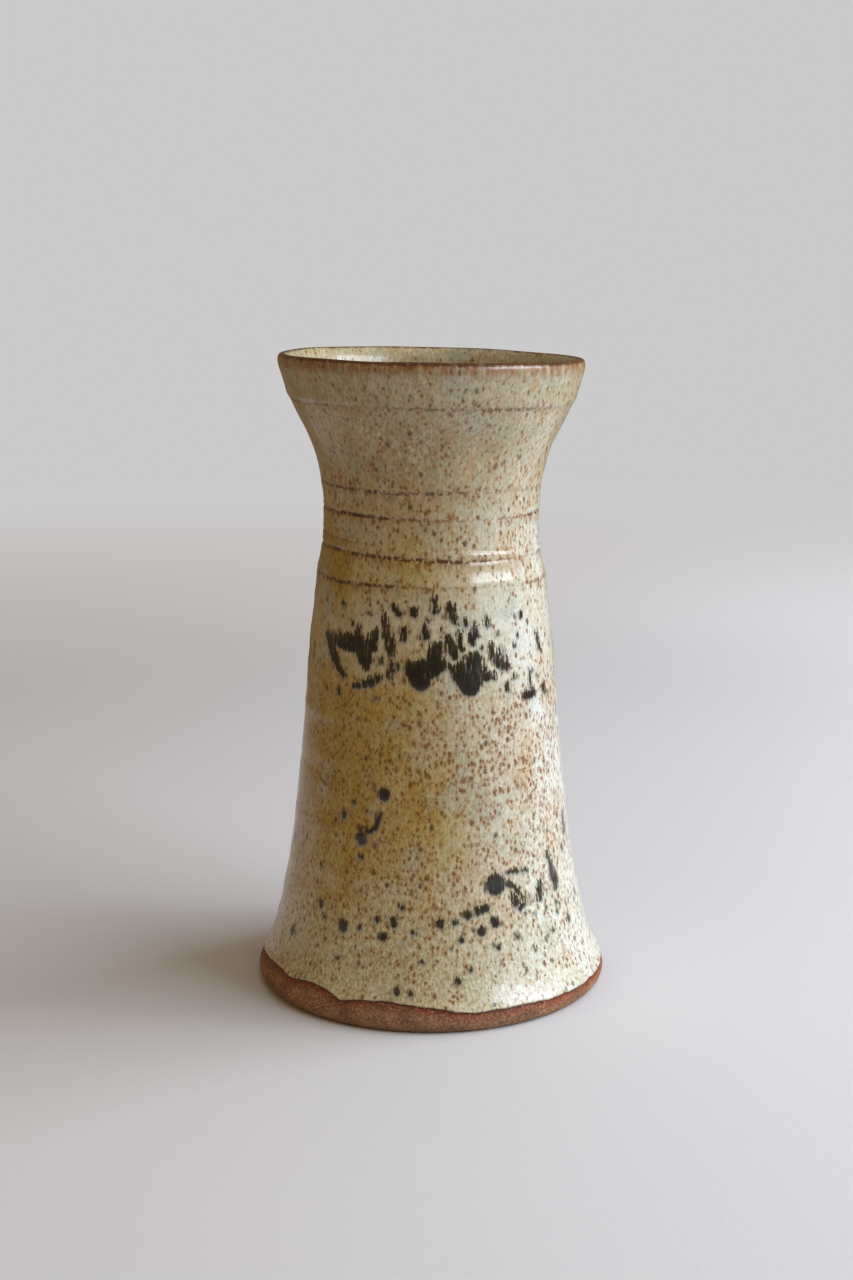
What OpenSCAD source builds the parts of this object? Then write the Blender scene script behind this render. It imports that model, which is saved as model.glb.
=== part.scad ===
// Stoneware pottery vase, thrown on a wheel: a flared foot, a body that
// narrows to a waist just under the neck, and a neck that opens into a
// trumpet collar with a rolled lip. The clay is bare at the foot. Above it
// the vase wears an oatmeal glaze, with brush marks and splashes of iron
// oxide laid over the glaze.
//
// The origin is the centre of the face that the vase rests on, +Z is up and
// the painted front faces -Y. Angles on the wall are measured from the
// front, positive towards +X.

/* [Outline] */
// Height from the table to the highest point of the glazed lip
height = 211; // [190:1:260]
// Widest diameter of the bare clay foot
foot_d = 118; // [104:1:142]
// Height of the widest ring of the foot
foot_wide_h = 4; // [3:0.5:6]
// Height where the foot's steep flare ends
flare_h = 14; // [10:0.5:20]
// Clay diameter where the foot's steep flare ends
flare_d = 108.4; // [98:0.2:130]
// Height where the flare has eased into the body
ankle_h = 32; // [26:1:40]
// Clay diameter where the flare has eased into the body
ankle_d = 99; // [88:1:119]
// Height of the middle of the body
body_h = 75; // [65:1:90]
// Clay diameter at the middle of the body
body_d = 87; // [78:1:105]
// Height of the upper body, under the painted band
upper_h = 120; // [105:1:126]
// Clay diameter of the upper body
upper_d = 79; // [70:1:95]
// Drop from the lip to the first grooves above the painted band
shoulder_drop = 70; // [64:1:78]
// Clay diameter at those grooves
shoulder_d = 73.8; // [66:0.2:88]
// Drop from the lip to the waist, the narrowest place
waist_drop = 54; // [48:1:60]
// Clay diameter at the waist
waist_d = 70; // [58:1:84]
// Drop from the lip to the start of the trumpet
throat_drop = 40; // [36:1:44]
// Clay diameter at the start of the trumpet
throat_d = 71.8; // [60:0.2:86]
// Drop from the lip to the steep part of the trumpet
bell_drop = 30; // [26:1:33]
// Clay diameter at the steep part of the trumpet
bell_d = 76.8; // [66:0.2:92]
// Drop from the lip to the line where the collar turns upright
collar_drop = 14.5; // [11:0.5:20]
// Clay diameter at the collar line
collar_d = 91.6; // [78:0.2:108]
// Outside diameter over the glazed lip
rim_d = 98.5; // [84:0.5:118]

/* [Wall] */
// Thickness of the clay wall from the body to the neck
wall_t = 5; // [4:0.5:7]
// Thickness of the clay wall beside the floor
foot_wall_t = 10; // [8:0.5:14]
// Height over which the thick foot wall thins to the body wall
foot_wall_h = 45; // [30:1:60]
// Thickness of the clay at the lip
lip_t = 3; // [2.5:0.1:4.5]
// Height of the rounded clay lip
lip_h = 5; // [3:0.5:7]
// Drop over which the body wall thins to the lip
lip_taper_h = 40; // [25:1:50]
// Height of the clay floor inside, measured from the table
floor_h = 8; // [6:0.5:12]
// Radius where the floor turns up into the wall
floor_round = 12; // [6:1:18]

/* [Foot] */
// Width of the rounded bottom edge of the foot
base_round = 3; // [2:0.5:4]
// Width of the ring that the vase rests on
foot_ring_w = 12; // [9:0.5:16]
// Depth of the turned recess under the vase
recess_h = 2.5; // [1.5:0.5:4]
// Bevel on the inner edge of the foot ring
ring_bevel = 0.8; // [0.4:0.1:1.2]

/* [Throwing lines] */
// Drops from the lip to each line cut round the neck
line_drops = [14.5, 49.9, 59.3, 62.6]; // [10:0.1:75]
// Depth of each line
line_depths = [0.25, 0.45, 0.35, 0.5]; // [0.1:0.05:0.8]
// Half width of a line
line_half_w = 1; // [0.6:0.1:1.6]

/* [Glaze] */
// Thickness of the glaze coat outside and on the lip
glaze_t = 0.5; // [0.3:0.1:0.8]
// Thickness of the liner glaze inside
liner_t = 0.4; // [0.3:0.1:0.8]
// Height of the glaze line, which leaves the foot bare below it
glaze_line_h = 8; // [6:0.5:12]
// Height over which the glaze edge swells to its full thickness
glaze_roll_h = 0.8; // [0.4:0.1:1.5]

/* [Iron oxide] */
// Thickness of the brushed oxide over the glaze
oxide_t = 0.25; // [0.15:0.05:0.4]

/* [Hidden] */
$fn = 144;

clay_colour = "#7a5640";
glaze_colour = "#9a8760";
rim_colour = "#6b4a30";
liner_colour = "#b8ab8a";
oxide_colour = "#2b271c";

// Height step between the rings that the curved wall is made of
step_h = 3;
// Clear reach of a mark's cutter past both faces of the oxide
mark_reach = 3;

// The lip: where its rounding starts, and the middle of its clay wall
lip_base_h = height - glaze_t - lip_h;
lip_mid_r = rim_d / 2 - glaze_t - lip_t / 2;

// Clay outline, as [height, radius] pairs that a smooth curve joins
outline = [
    [foot_wide_h, foot_d / 2],
    [flare_h, flare_d / 2],
    [ankle_h, ankle_d / 2],
    [body_h, body_d / 2],
    [upper_h, upper_d / 2],
    [height - shoulder_drop, shoulder_d / 2],
    [height - waist_drop, waist_d / 2],
    [height - throat_drop, throat_d / 2],
    [height - bell_drop, bell_d / 2],
    [height - collar_drop, collar_d / 2],
    [lip_base_h, rim_d / 2 - glaze_t]
];
last = len(outline) - 1;

// Slope of the outline between station i and the next one
function chord(i) =
    (outline[i + 1][1] - outline[i][1]) / (outline[i + 1][0] - outline[i][0]);
function span(i) = outline[i + 1][0] - outline[i][0];

// Slope of the curve at station i: the chords on its two sides, each
// weighted by the other one's span
function slope(i) =
    i == 0 ? chord(0)
    : i == last ? chord(last - 1)
    : (span(i - 1) * chord(i) + span(i) * chord(i - 1))
        / (span(i - 1) + span(i));

// Index of the stretch of outline that holds the height z
function stretch(z, i = 0) =
    (i == last - 1 || z <= outline[i + 1][0]) ? i : stretch(z, i + 1);

// Cubic curve through both stations of the stretch, with their slopes
function cubic(z, i) =
    let (
        h = span(i),
        t = (z - outline[i][0]) / h
    )
    (2 * t * t * t - 3 * t * t + 1) * outline[i][1]
    + (t * t * t - 2 * t * t + t) * h * slope(i)
    + (3 * t * t - 2 * t * t * t) * outline[i + 1][1]
    + (t * t * t - t * t) * h * slope(i + 1);

function smooth_r(z) = cubic(z, stretch(z));

// Depth of the throwing lines at the height z: a bell-shaped dip at each
function line_dip(z, i = 0) =
    i == len(line_drops) ? 0
    : let (off = (z - height + line_drops[i]) / line_half_w)
        (abs(off) > 1 ? 0 : line_depths[i] * pow(cos(90 * off), 2))
            + line_dip(z, i + 1);

function clay_r(z) = smooth_r(z) - line_dip(z);
function glazed_r(z) = clay_r(z) + glaze_t;

// Ease from 0 to 1 as t goes from 0 to 1
function ease(t) = let (c = max(0, min(1, t))) c * c * (3 - 2 * c);

// Wall thickness at the height z: thick at the foot, thin at the lip
function wall_at(z) =
    wall_t
    + (foot_wall_t - wall_t) * (1 - ease(z / foot_wall_h))
    - (wall_t - lip_t) * ease((z - lip_base_h) / lip_taper_h + 1);
function inner_r(z) = smooth_r(z) - wall_at(z);

function sorted(v) =
    len(v) < 2 ? v
    : let (
        pivot = v[floor(len(v) / 2)],
        below = [for (x = v) if (x < pivot) x],
        above = [for (x = v) if (x > pivot) x]
    )
    concat(sorted(below), [pivot], sorted(above));

// Heights of the rings of the outer wall: even steps, the glaze line, and
// five rings across each throwing line
outer_rows = sorted(concat(
    [for (z = [foot_wide_h : step_h : lip_base_h - step_h / 2]) z],
    [lip_base_h, glaze_line_h, glaze_line_h + glaze_roll_h],
    [
        for (drop = line_drops, k = [-1 : 0.5 : 1])
            height - drop + k * line_half_w
    ]
));
glazed_rows = [for (z = outer_rows) if (z > glaze_line_h + glaze_roll_h / 2) z];

// Heights of the rings of the inner wall, above the floor's round corner
corner_h = floor_h + floor_round;
inner_rows = [
    for (z = [corner_h : step_h : lip_base_h - step_h / 2]) z,
    lip_base_h
];

function reversed(v) = [for (i = [len(v) - 1 : -1 : 0]) v[i]];

// Half an ellipse over the lip, from the outside to the inside, grown by g
function lip_arc(g) = [
    for (a = [0 : 15 : 180])
        [lip_mid_r + (lip_t / 2 + g) * cos(a), lip_base_h + (lip_h + g) * sin(a)]
];

// Inner wall from the lip down and across the floor, moved inwards by g
function inner_outline(g) = concat(
    [for (z = reversed(inner_rows)) [inner_r(z) - g, z]],
    [
        for (a = [75 : -15 : 0])
            [
                inner_r(corner_h) - floor_round + (floor_round - g) * sin(a),
                corner_h - (floor_round - g) * cos(a)
            ]
    ],
    [[0, floor_h + g]]
);

function clay_outline() = concat(
    [
        [0, recess_h],
        [foot_d / 2 - base_round - foot_ring_w - ring_bevel, recess_h],
        [foot_d / 2 - base_round - foot_ring_w, ring_bevel],
        [foot_d / 2 - base_round - foot_ring_w + ring_bevel, 0]
    ],
    [
        for (a = [90 : -15 : 15])
            [
                foot_d / 2 - base_round + base_round * cos(a),
                foot_wide_h - foot_wide_h * sin(a)
            ]
    ],
    [for (z = outer_rows) [clay_r(z), z]],
    [for (p = lip_arc(0)) if (p[1] > lip_base_h + 0.01) p],
    inner_outline(0)
);

// Outline of a brush stroke from its [x, height, width] points
function stroke_normal(s, i) =
    let (
        a = s[max(i - 1, 0)],
        b = s[min(i + 1, len(s) - 1)],
        dx = b[0] - a[0],
        dz = b[1] - a[1],
        run = sqrt(dx * dx + dz * dz)
    )
    [-dz / run, dx / run];
function stroke_side(s, side) = [
    for (i = [0 : len(s) - 1])
        let (n = stroke_normal(s, i))
        [
            s[i][0] + side * s[i][2] / 2 * n[0],
            s[i][1] + side * s[i][2] / 2 * n[1]
        ]
];
function stroke(s) = concat(stroke_side(s, 1), reversed(stroke_side(s, -1)));

// Outline of a splash of radius r and stretch tall, lobed by its seed
function splash(r, tall, seed) = [
    for (a = [0 : 24 : 336])
        let (rr = r * (1 + 0.12 * sin(2 * a + seed) + 0.09 * sin(3 * a - seed)))
        [rr * cos(a), tall * rr * sin(a)]
];

// The strokes of the painted band, each drawn about its own place
hook = [[-9.5, 4, 2.5], [-5.5, -1, 3.6], [-2.5, -6, 2.8], [0, -9, 1]];
crown = [[-9.5, 3.2, 3], [-1, 3, 4.2], [5, 5.5, 4], [10, 8.5, 2]];
lobe = [[3.5, 4, 4], [7.5, 0, 4.6], [8.5, -4.5, 2]];
slant = [[-2.2, 9, 1.6], [-0.3, 2, 2.6], [0.8, -3, 1.3], [-0.8, -8, 0.8]];
petal = [[2.5, 6.5, 2.4], [2.3, 3, 6], [-0.5, -2, 9.6], [-2.2, -9, 3]];
leaf = [[4.2, 7.4, 3], [2.5, 3.5, 6], [0, -1, 10], [0, -7.4, 3]];
twig = [[-2, -3.5, 1.2], [0, 0, 2], [2, 4, 1]];
comb = [[-2.6, 4.5, 2.4], [0, 0, 3.8], [2.8, -4.5, 2.6]];
dash = [[0, 2.5, 0.9], [0.2, 0, 1.7], [0, -2.5, 0.8]];
dot = [[0, 1.5, 1], [0, 0, 2], [0, -1.5, 1]];
arch = [hook, crown, lobe];

// Each entry is a mark's strokes, its angle from the front and its drop
// from the lip
band_marks = [
    [arch, -42, 91], [[slant], -18, 89], [[dot], -27, 101],
    [[petal], 0, 95], [[twig], 12, 88], [[leaf], 17, 98],
    [[twig], 20, 83], [[comb], 33, 93], [[slant], 54, 87],
    [[dash], 48, 105], [[dash], 61, 107], [[dash], 44, 96],
    [[dot], 2, 76], [[dot], 10, 78.5], [[dot], -8, 77.5],
    [[dot], -12, 84], [[dash], 78, 114], [[petal], 92, 93],
    [[twig], 104, 87], [[slant], 117, 90], [[leaf], 132, 96],
    [[dot], 121, 78], [[comb], 151, 94], [arch, 178, 92],
    [[twig], 201, 86], [[petal], 214, 95], [[dot], 206, 77],
    [[slant], 231, 89], [[leaf], 247, 97], [[dash], 262, 92],
    [[dot], 239, 78], [[comb], 276, 95]
];

// Each entry is a splash's angle, height, radius and stretch
splashes = [
    [-20, 74, 2, 1], [-21, 66, 1.2, 1.3], [-28, 59, 2.2, 1],
    [-38, 64.5, 1, 1], [-34, 70, 0.8, 1.2], [-46, 35, 0.9, 1],
    [-34, 30, 1.9, 0.9], [-61, 22.5, 1.3, 1], [-13, 33.5, 1.5, 1.2],
    [-18, 28, 1.5, 0.8], [4, 33.5, 1.2, 1.3], [13, 36, 1.5, 1.2],
    [19.5, 38, 1.7, 0.9], [18.5, 30.5, 1.6, 1], [27, 33, 1.7, 1],
    [26, 45, 3.4, 0.8], [36, 38, 1.3, 1], [46, 39, 1.2, 1.9],
    [56, 43, 1.6, 3.6], [73, 56, 1.1, 3], [63, 26, 0.9, 1],
    [9, 16, 1.3, 1], [-11, 12.5, 1.2, 0.9],
    [96, 40, 2, 1.2], [108, 31, 1.6, 1], [118, 52, 2.6, 0.9],
    [131, 36, 1.5, 1.4], [140, 68, 1.4, 1.2], [152, 29, 2, 1],
    [166, 44, 3, 0.9], [178, 34, 1.3, 1], [187, 61, 1.6, 1.3],
    [199, 31, 1.8, 1], [212, 47, 1.4, 2.4], [222, 38, 2.1, 0.9],
    [236, 27, 1.2, 1], [244, 58, 2.2, 1], [257, 41, 1.5, 1.6],
    [270, 33, 1.7, 1], [283, 50, 1.2, 1.8]
];

// Turned solid of a closed outline of [radius, height] points
module turned(points) {
    rotate_extrude() polygon(points);
}

// Thin coat over the glaze, from a little below z0 to a little above z1
module oxide_coat(z0, z1) {
    rows = [
        for (z = glazed_rows)
            if (z > z0 - mark_reach - step_h && z < z1 + mark_reach + step_h) z
    ];
    turned(concat(
        [for (z = rows) [glazed_r(z), z]],
        [for (z = reversed(rows)) [glazed_r(z) + oxide_t, z]]
    ));
}

// Part of the oxide coat that lies behind flat outlines, which are drawn
// about the height z on the side of the vase that faces the given angle
module mark(angle, z, outlines) {
    low = z + min([for (o = outlines, p = o) p[1]]);
    high = z + max([for (o = outlines, p = o) p[1]]);
    near_r = min(glazed_r(low), glazed_r(high), glazed_r(z)) - 2 * mark_reach;
    far_r = max(glazed_r(low), glazed_r(high), glazed_r(z)) + mark_reach;
    rotate([0, 0, angle]) intersection() {
        oxide_coat(low, high);
        translate([0, -near_r, z]) rotate([90, 0, 0])
            linear_extrude(far_r - near_r)
                for (o = outlines) polygon(o);
    }
}

module clay_body() {
    color(clay_colour) turned(clay_outline());
}

module outer_glaze() {
    color(glaze_colour) turned(concat(
        [[clay_r(glaze_line_h), glaze_line_h]],
        [for (z = glazed_rows) [glazed_r(z), z]],
        [for (z = reversed(glazed_rows)) [clay_r(z), z]]
    ));
}

module rim_glaze() {
    color(rim_colour) turned(concat(lip_arc(glaze_t), reversed(lip_arc(0))));
}

module liner_glaze() {
    color(liner_colour)
        turned(concat(inner_outline(liner_t), reversed(inner_outline(0))));
}

module oxide_band() {
    color(oxide_colour)
        for (m = band_marks)
            mark(m[1], height - m[2], [for (s = m[0]) stroke(s)]);
}

module oxide_splashes() {
    color(oxide_colour)
        for (i = [0 : len(splashes) - 1])
            let (s = splashes[i])
            mark(s[0], s[1], [splash(s[2], s[3], 97 * i)]);
}

clay_body();
outer_glaze();
rim_glaze();
liner_glaze();
oxide_band();
oxide_splashes();
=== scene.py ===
# %% [markdown]
# # A stoneware vase, thrown on the wheel
#
# The vase is one wall of iron-bearing stoneware clay with glaze melted onto it: an oatmeal glaze outside, a
# pale liner inside, a lip where the glaze breaks to brown, and two bands of brushed and spattered iron oxide.
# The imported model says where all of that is. What this script adds is everything that the hand and the kiln
# do to a clean outline: a lean, finger ridges, grooves, a wavy glaze edge, brush marks, specks and runs.

import math

import bpy
import numpy as np
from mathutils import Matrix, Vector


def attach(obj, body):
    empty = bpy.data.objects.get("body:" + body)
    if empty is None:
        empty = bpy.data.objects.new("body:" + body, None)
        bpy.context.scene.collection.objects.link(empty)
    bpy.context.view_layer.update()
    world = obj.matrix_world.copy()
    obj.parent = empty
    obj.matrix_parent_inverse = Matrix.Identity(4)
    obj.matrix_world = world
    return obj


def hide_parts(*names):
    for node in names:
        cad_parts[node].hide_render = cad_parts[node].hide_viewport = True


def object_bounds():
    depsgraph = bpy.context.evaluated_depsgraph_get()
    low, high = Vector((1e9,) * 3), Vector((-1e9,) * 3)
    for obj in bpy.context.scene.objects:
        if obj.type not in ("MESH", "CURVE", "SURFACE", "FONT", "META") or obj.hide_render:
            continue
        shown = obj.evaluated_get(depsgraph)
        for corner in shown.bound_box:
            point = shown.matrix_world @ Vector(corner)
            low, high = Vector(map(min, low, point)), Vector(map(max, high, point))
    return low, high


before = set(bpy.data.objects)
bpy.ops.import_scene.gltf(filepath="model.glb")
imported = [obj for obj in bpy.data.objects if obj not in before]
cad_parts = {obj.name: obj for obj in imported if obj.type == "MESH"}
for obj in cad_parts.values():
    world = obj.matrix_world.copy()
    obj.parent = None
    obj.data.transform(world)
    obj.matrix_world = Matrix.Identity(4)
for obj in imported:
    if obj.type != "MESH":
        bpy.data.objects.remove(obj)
cad_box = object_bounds()
print("CAD box in mm:", [[round(v * 1000, 2) for v in corner] for corner in cad_box])

# %% [markdown]
# ## The outline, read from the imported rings
#
# A turned surface is only a radius at each height, so the shape of the pot can be read back from the packed
# mesh: the outermost radius of each ring of points. A cubic curve through those rings then gives the radius
# at any height. The narrow throwing lines are left out here and cut again later, because on the real pot
# they wander and fade on their way round, which a turned solid can't do.

# %% Rings of a node
MM = 0.001


def rings(name, widest=True):
    """Heights of a node's rings of points and the widest or narrowest radius on each, in mm."""
    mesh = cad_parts[name].data
    points = np.empty(3 * len(mesh.vertices), dtype=np.float32)
    mesh.vertices.foreach_get("co", points)
    points = points.reshape(-1, 3).astype(float) / MM
    heights, ring = np.unique(points[:, 2].round(2), return_inverse=True)
    radii = np.zeros(len(heights)) if widest else np.full(len(heights), 1e9)
    pick = np.maximum if widest else np.minimum
    pick.at(radii, ring, np.hypot(points[:, 0], points[:, 1]))
    return heights, radii


glaze_rows, glaze_radii = rings("outer_glaze")
foot_rows, foot_radii = rings("clay_body")
print("rings read: glaze", len(glaze_rows), "clay", len(foot_rows))

# %% [markdown]
# ## One smooth radius for every height
#
# The glaze's rings lie half a millimetre outside the clay's. The bare foot is read from the clay, and the
# rest from the glaze less that half millimetre. Rings next to a line are skipped, so the curve runs past it.
# The curve is a cubic between neighbouring rings, which bends smoothly and never overshoots far.

# %% A smooth curve through the rings
glaze_t = 0.5
line_heights = np.array([196.5, 161.1, 151.7, 148.4])
line_clear = 0.9
glaze_line_h = 8.1
foot_r_min = 55.0


def curve_through(known, values, at):
    """Cubic through known points: each slope is the mean of its two chords, weighted by the other's span."""
    span = np.diff(known)
    chord = np.diff(values) / span
    slope = np.concatenate([chord[:1], chord])
    slope[1:-1] = (span[:-1] * chord[1:] + span[1:] * chord[:-1]) / (span[:-1] + span[1:])
    i = np.clip(np.searchsorted(known, at, side="right") - 1, 0, len(span) - 1)
    t = np.clip((at - known[i]) / span[i], 0, 1)
    rise = values[i] + (values[i + 1] - values[i]) * t * t * (3 - 2 * t)
    return rise + span[i] * t * (1 - t) * (slope[i] * (1 - t) - slope[i + 1] * t)


foot = (foot_rows < glaze_line_h) & (foot_radii > foot_r_min)
far_off = np.abs(glaze_rows[:, None] - line_heights).min(axis=1) > line_clear
clear = (glaze_rows > glaze_line_h + 0.9) & far_off
outline_z = np.concatenate([foot_rows[foot], glaze_rows[clear]])
outline_r = np.concatenate([foot_radii[foot], glaze_radii[clear] - glaze_t])
lip_base = outline_z[-1]


def clay_radius(height):
    """Radius of the clay wall's outside in mm, without ridges or lines."""
    return curve_through(outline_z, outline_r, height)


print("rings in the outline:", len(outline_z), "lip starts at", lip_base)

# %% [markdown]
# ## What the hand adds
#
# Fingers climb a turning wall, so the ridges that they leave are spirals: a sine along the height whose phase
# turns once per revolution. Grooves are pressed with a stick while the wheel coasts, so they wander. The
# wall also steps in at the shoulder and out under the collar. All of these are small changes of radius, so
# each is one function of angle and height, in mm, used by every piece.

# %% Ridges, lines and steps
tall = cad_box[1].z / MM

# Each finger ridge: how far it stands out, its pitch, the pitches climbed in a turn, and where it starts
finger_waves = [(0.035, 7.3, 1, 0.0), (0.070, 12.4, 1, 2.1), (0.010, 4.1, 2, 4.0)]
# Each step of the wall: height, how far it goes in or out, how soft it is, and how far up and down it is felt
wall_steps = [(142.8, -0.40, 2.1, 7), (196.2, 0.26, 0.8, 5)]
# Each throwing line: height, depth, half width, rise towards the right, strength of the iron gathered in it
lines = [
    (196.5, 0.22, 0.70, 0.0, 0.70),
    (169.6, 0.06, 0.60, 0.2, 0.80),
    (161.1, 0.24, 0.55, 0.0, 0.85),
    (151.7, 0.26, 0.60, -1.3, 0.65),
    (148.4, 0.38, 0.70, -0.6, 1.00),
    (139.8, 0.07, 0.60, 0.2, 0.75),
]


def ease(t):
    """Smooth step from 0 to 1 as t goes from 0 to 1."""
    t = np.clip(t, 0, 1)
    return t * t * (3 - 2 * t)


def line_height(line, theta):
    """Height of a throwing line at the angle theta: level, plus a slow swing and a slight wander."""
    height, _, _, swing, _ = line
    wander = 0.16 * np.sin(3 * theta + height) + 0.07 * np.sin(7 * theta - height)
    return height + swing * np.sin(theta) + wander


def ridges(theta, height):
    """Spiral sine waves for the finger ridges, soft steps at shoulder and collar, and a slightly oval wall."""
    turn = theta / (2 * math.pi)
    wave = sum(
        stands * np.sin(2 * math.pi * (height / pitch - turns * turn) + start)
        for stands, pitch, turns, start in finger_waves
    )
    step = sum(
        out * np.tanh((height - at) / soft) * np.exp(-((height - at) / felt) ** 2)
        for at, out, soft, felt in wall_steps
    )
    oval = 0.14 * np.cos(2 * theta - 1.1) + 0.06 * np.cos(3 * theta + 0.4)
    reach = ease((height - 9) / 16)
    calm = 1 - 0.6 * ease((height - 178) / 14)
    return reach * (calm * wave + oval * ease(height / tall)) + step


def grooves(theta, height):
    """Depth of the throwing lines: a bell-shaped dip with a low shoulder pushed up on both sides."""
    depth = np.zeros(np.broadcast(theta, height).shape)
    for line in lines:
        off = (height - line_height(line, theta)) / line[2]
        strength = 0.8 - 0.2 * np.cos(theta + 0.4) + 0.15 * np.sin(2 * theta + line[0])
        depth += line[1] * strength * (np.exp(-off ** 2) - 0.16 * np.exp(-(np.abs(off) - 2.3) ** 2))
    return depth


print("throwing lines:", len(lines), "finger ridges:", len(finger_waves), "steps:", len(wall_steps))

# %% [markdown]
# ## The lean
#
# A pot cut off the wheel with a wire rarely stands quite true, and this one leans by a degree or so. The tilt
# grows over the first centimetres, so that the foot stays flat on the table. The whole wall is also let down
# by up to a millimetre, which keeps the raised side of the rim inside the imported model's height.

# %% Points of the leaning pot
lean = math.tan(math.radians(1.2))
settle = 1.0


def stand(theta, height, radius):
    """Points in mm of the leaning pot: angle 0 is the front, and positive angles go to the right."""
    x = radius * np.sin(theta)
    y = -radius * np.cos(theta)
    tilt = x * lean * (1 - np.exp(-height / 50))
    return np.stack(np.broadcast_arrays(x, y, height - settle * (height / tall) ** 2 - tilt), axis=-1)


print("tilt of the rim in mm:", round(2 * lean * clay_radius(np.array([lip_base]))[0], 2))

# %% [markdown]
# ## From points to a piece
#
# A mesh is a list of points and a list of faces. Materials may also need numbers that belong to the points,
# such as the distance to a line, so these go into the mesh as attributes. Each piece stays at the origin,
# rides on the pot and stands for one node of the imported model.

# %% A mesh with attributes
ROOT = bpy.context.scene.collection


def add_piece(name, points, faces, facts, replaced):
    """Object at the origin from points in mm, with a float attribute for each fact, riding on the pot."""
    mesh = bpy.data.meshes.new(name)
    mesh.from_pydata((points * MM).tolist(), [], faces)
    for fact, values in facts.items():
        numbers = values.ravel().astype(np.float32)
        mesh.attributes.new(fact, "FLOAT", "POINT").data.foreach_set("value", numbers)
    mesh.shade_smooth()
    mesh.set_sharp_from_angle(angle=math.radians(50))
    piece = bpy.data.objects.new(name, mesh)
    ROOT.objects.link(piece)
    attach(piece, "root")
    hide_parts(replaced)
    print(name, "faces:", len(mesh.polygons))
    return piece


print("pieces go into", ROOT.name)

# %% [markdown]
# ## From a grid to a closed skin
#
# Every coat of this pot is a profile carried round the axis, so one function makes them all: a grid of rows
# by columns, closed round the axis, and closed the other way either by two poles or by joining the last row
# to the first. The corners of all faces are worked out as whole arrays, in the order that faces them outwards.

# %% Grids carried round the axis


def quads(rows, columns, wrap_rows=False):
    """Corner numbers of the faces of a grid that closes round the axis, and also by its rows if asked."""
    i = np.arange(rows if wrap_rows else rows - 1)[:, None]
    j = np.arange(columns)[None, :]
    up = (i + 1) % rows
    right = (j + 1) % columns
    corners = [i * columns + j, i * columns + right, up * columns + right, up * columns + j]
    return np.stack(np.broadcast_arrays(*corners), axis=-1).reshape(-1, 4)


def turned(name, points, facts, replaced, poles=False):
    """Closed piece from a grid of points: a ring, or with poles a skin from the first pole to the last."""
    rows, columns, _ = points.shape
    faces = quads(rows, columns, wrap_rows=not poles).tolist()
    flat = points.reshape(-1, 3)
    if poles:
        j = np.arange(columns)
        right = (j + 1) % columns
        first = rows * columns
        ends = np.stack([points[0].mean(axis=0), points[-1].mean(axis=0)])
        flat = np.concatenate([flat, ends])
        top = (rows - 1) * columns
        faces += np.stack([np.full(columns, first), right, j], axis=-1).tolist()
        faces += np.stack([top + j, top + right, np.full(columns, first + 1)], axis=-1).tolist()
        facts = {
            fact: np.concatenate([values.ravel(), [values[0].mean(), values[-1].mean()]])
            for fact, values in facts.items()
        }
    return add_piece(name, flat, faces, facts, replaced)


def angles(columns):
    """Evenly spaced angles round the axis, as one row of a grid."""
    return np.linspace(-math.pi, math.pi, columns, endpoint=False)[None, :]


theta = angles(300)
print("columns round the pot:", theta.size, "one every", 360 / theta.size, "degrees")

# %% [markdown]
# ## Where the glaze stops
#
# A potter wipes the foot clean so that the glaze can't weld the pot to the kiln shelf, and the melt creeps
# down a little further where the coat is thick. The edge is therefore a wavy line, higher on one side, with
# a few sags, and it ends in a rolled bead. The curve goes round the pot through some two dozen heights.

# %% The wavy glaze edge
edge_turns = np.radians([
    -79, -64, -54, -43, -36, -31, -25, -19, -8, 3, 14, 24, 40, 56, 72,
    95, 120, 145, 170, 195, 215, 235, 258
])
edge_heights = np.array([
    8.8, 9.9, 9.2, 10.2, 9.6, 7.8, 8.8, 9.3, 9.0, 7.8, 6.4, 6.7, 6.2, 5.9, 6.1,
    6.8, 8.0, 8.9, 8.4, 7.5, 8.6, 8.9, 8.2
])


def edge_height(theta):
    """Height of the glaze edge in mm at an angle: a closed curve through the heights, plus a fine ripple."""
    turn = 2 * math.pi
    known = np.concatenate([edge_turns - turn, edge_turns, edge_turns + turn])
    ripple = 0.10 * np.sin(23 * theta + 1) + 0.07 * np.sin(41 * theta) + 0.05 * np.sin(67 * theta + 2)
    return curve_through(known, np.tile(edge_heights, 3), theta) + ripple


print("glaze edge between", edge_heights.min(), "and", edge_heights.max(), "mm")

# %% [markdown]
# ## The inside
#
# Nobody measures the inside of a thrown pot: it is the outside less the wall. The wall is thick at the foot,
# where it carries the rest, and thin at the lip. Inside, nobody smooths the finger ridges away, so they are
# deeper there, and they wind across the floor as one spiral with the wall's. The floor meets the wall in a
# round corner, the shape of a fingertip.

# %% Profile of the inside
wall_t = 5.0
foot_wall_t = 10.0
foot_wall_h = 45.0
lip_t = 3.0
lip_taper_h = 40.0
floor_h = 8.0
floor_round = 12.0


def inner_radius(height):
    """Radius of the wall's inside: the outside less a wall that is thick at the foot and thin at the lip."""
    wall = wall_t + (foot_wall_t - wall_t) * (1 - ease(height / foot_wall_h))
    wall = wall - (wall_t - lip_t) * ease((height - lip_base) / lip_taper_h + 1)
    return clay_radius(height) - wall


def inner_ridges(theta, height, radius):
    """Deeper finger ridges inside, as a spiral up the wall, and across the floor by radius."""
    turn = theta / (2 * math.pi)
    climb = np.where(height > corner_h, height, corner_h - 0.9 * (39 - radius))
    coarse = 0.22 * np.sin(2 * math.pi * (climb / 8.6 - turn))
    return coarse + 0.08 * np.sin(2 * math.pi * (climb / 5.1 - turn))


corner_h = floor_h + floor_round
corner_r = inner_radius(np.array([corner_h]))[0]
bend = np.linspace(0, math.pi / 2, 13)[1:]


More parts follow.
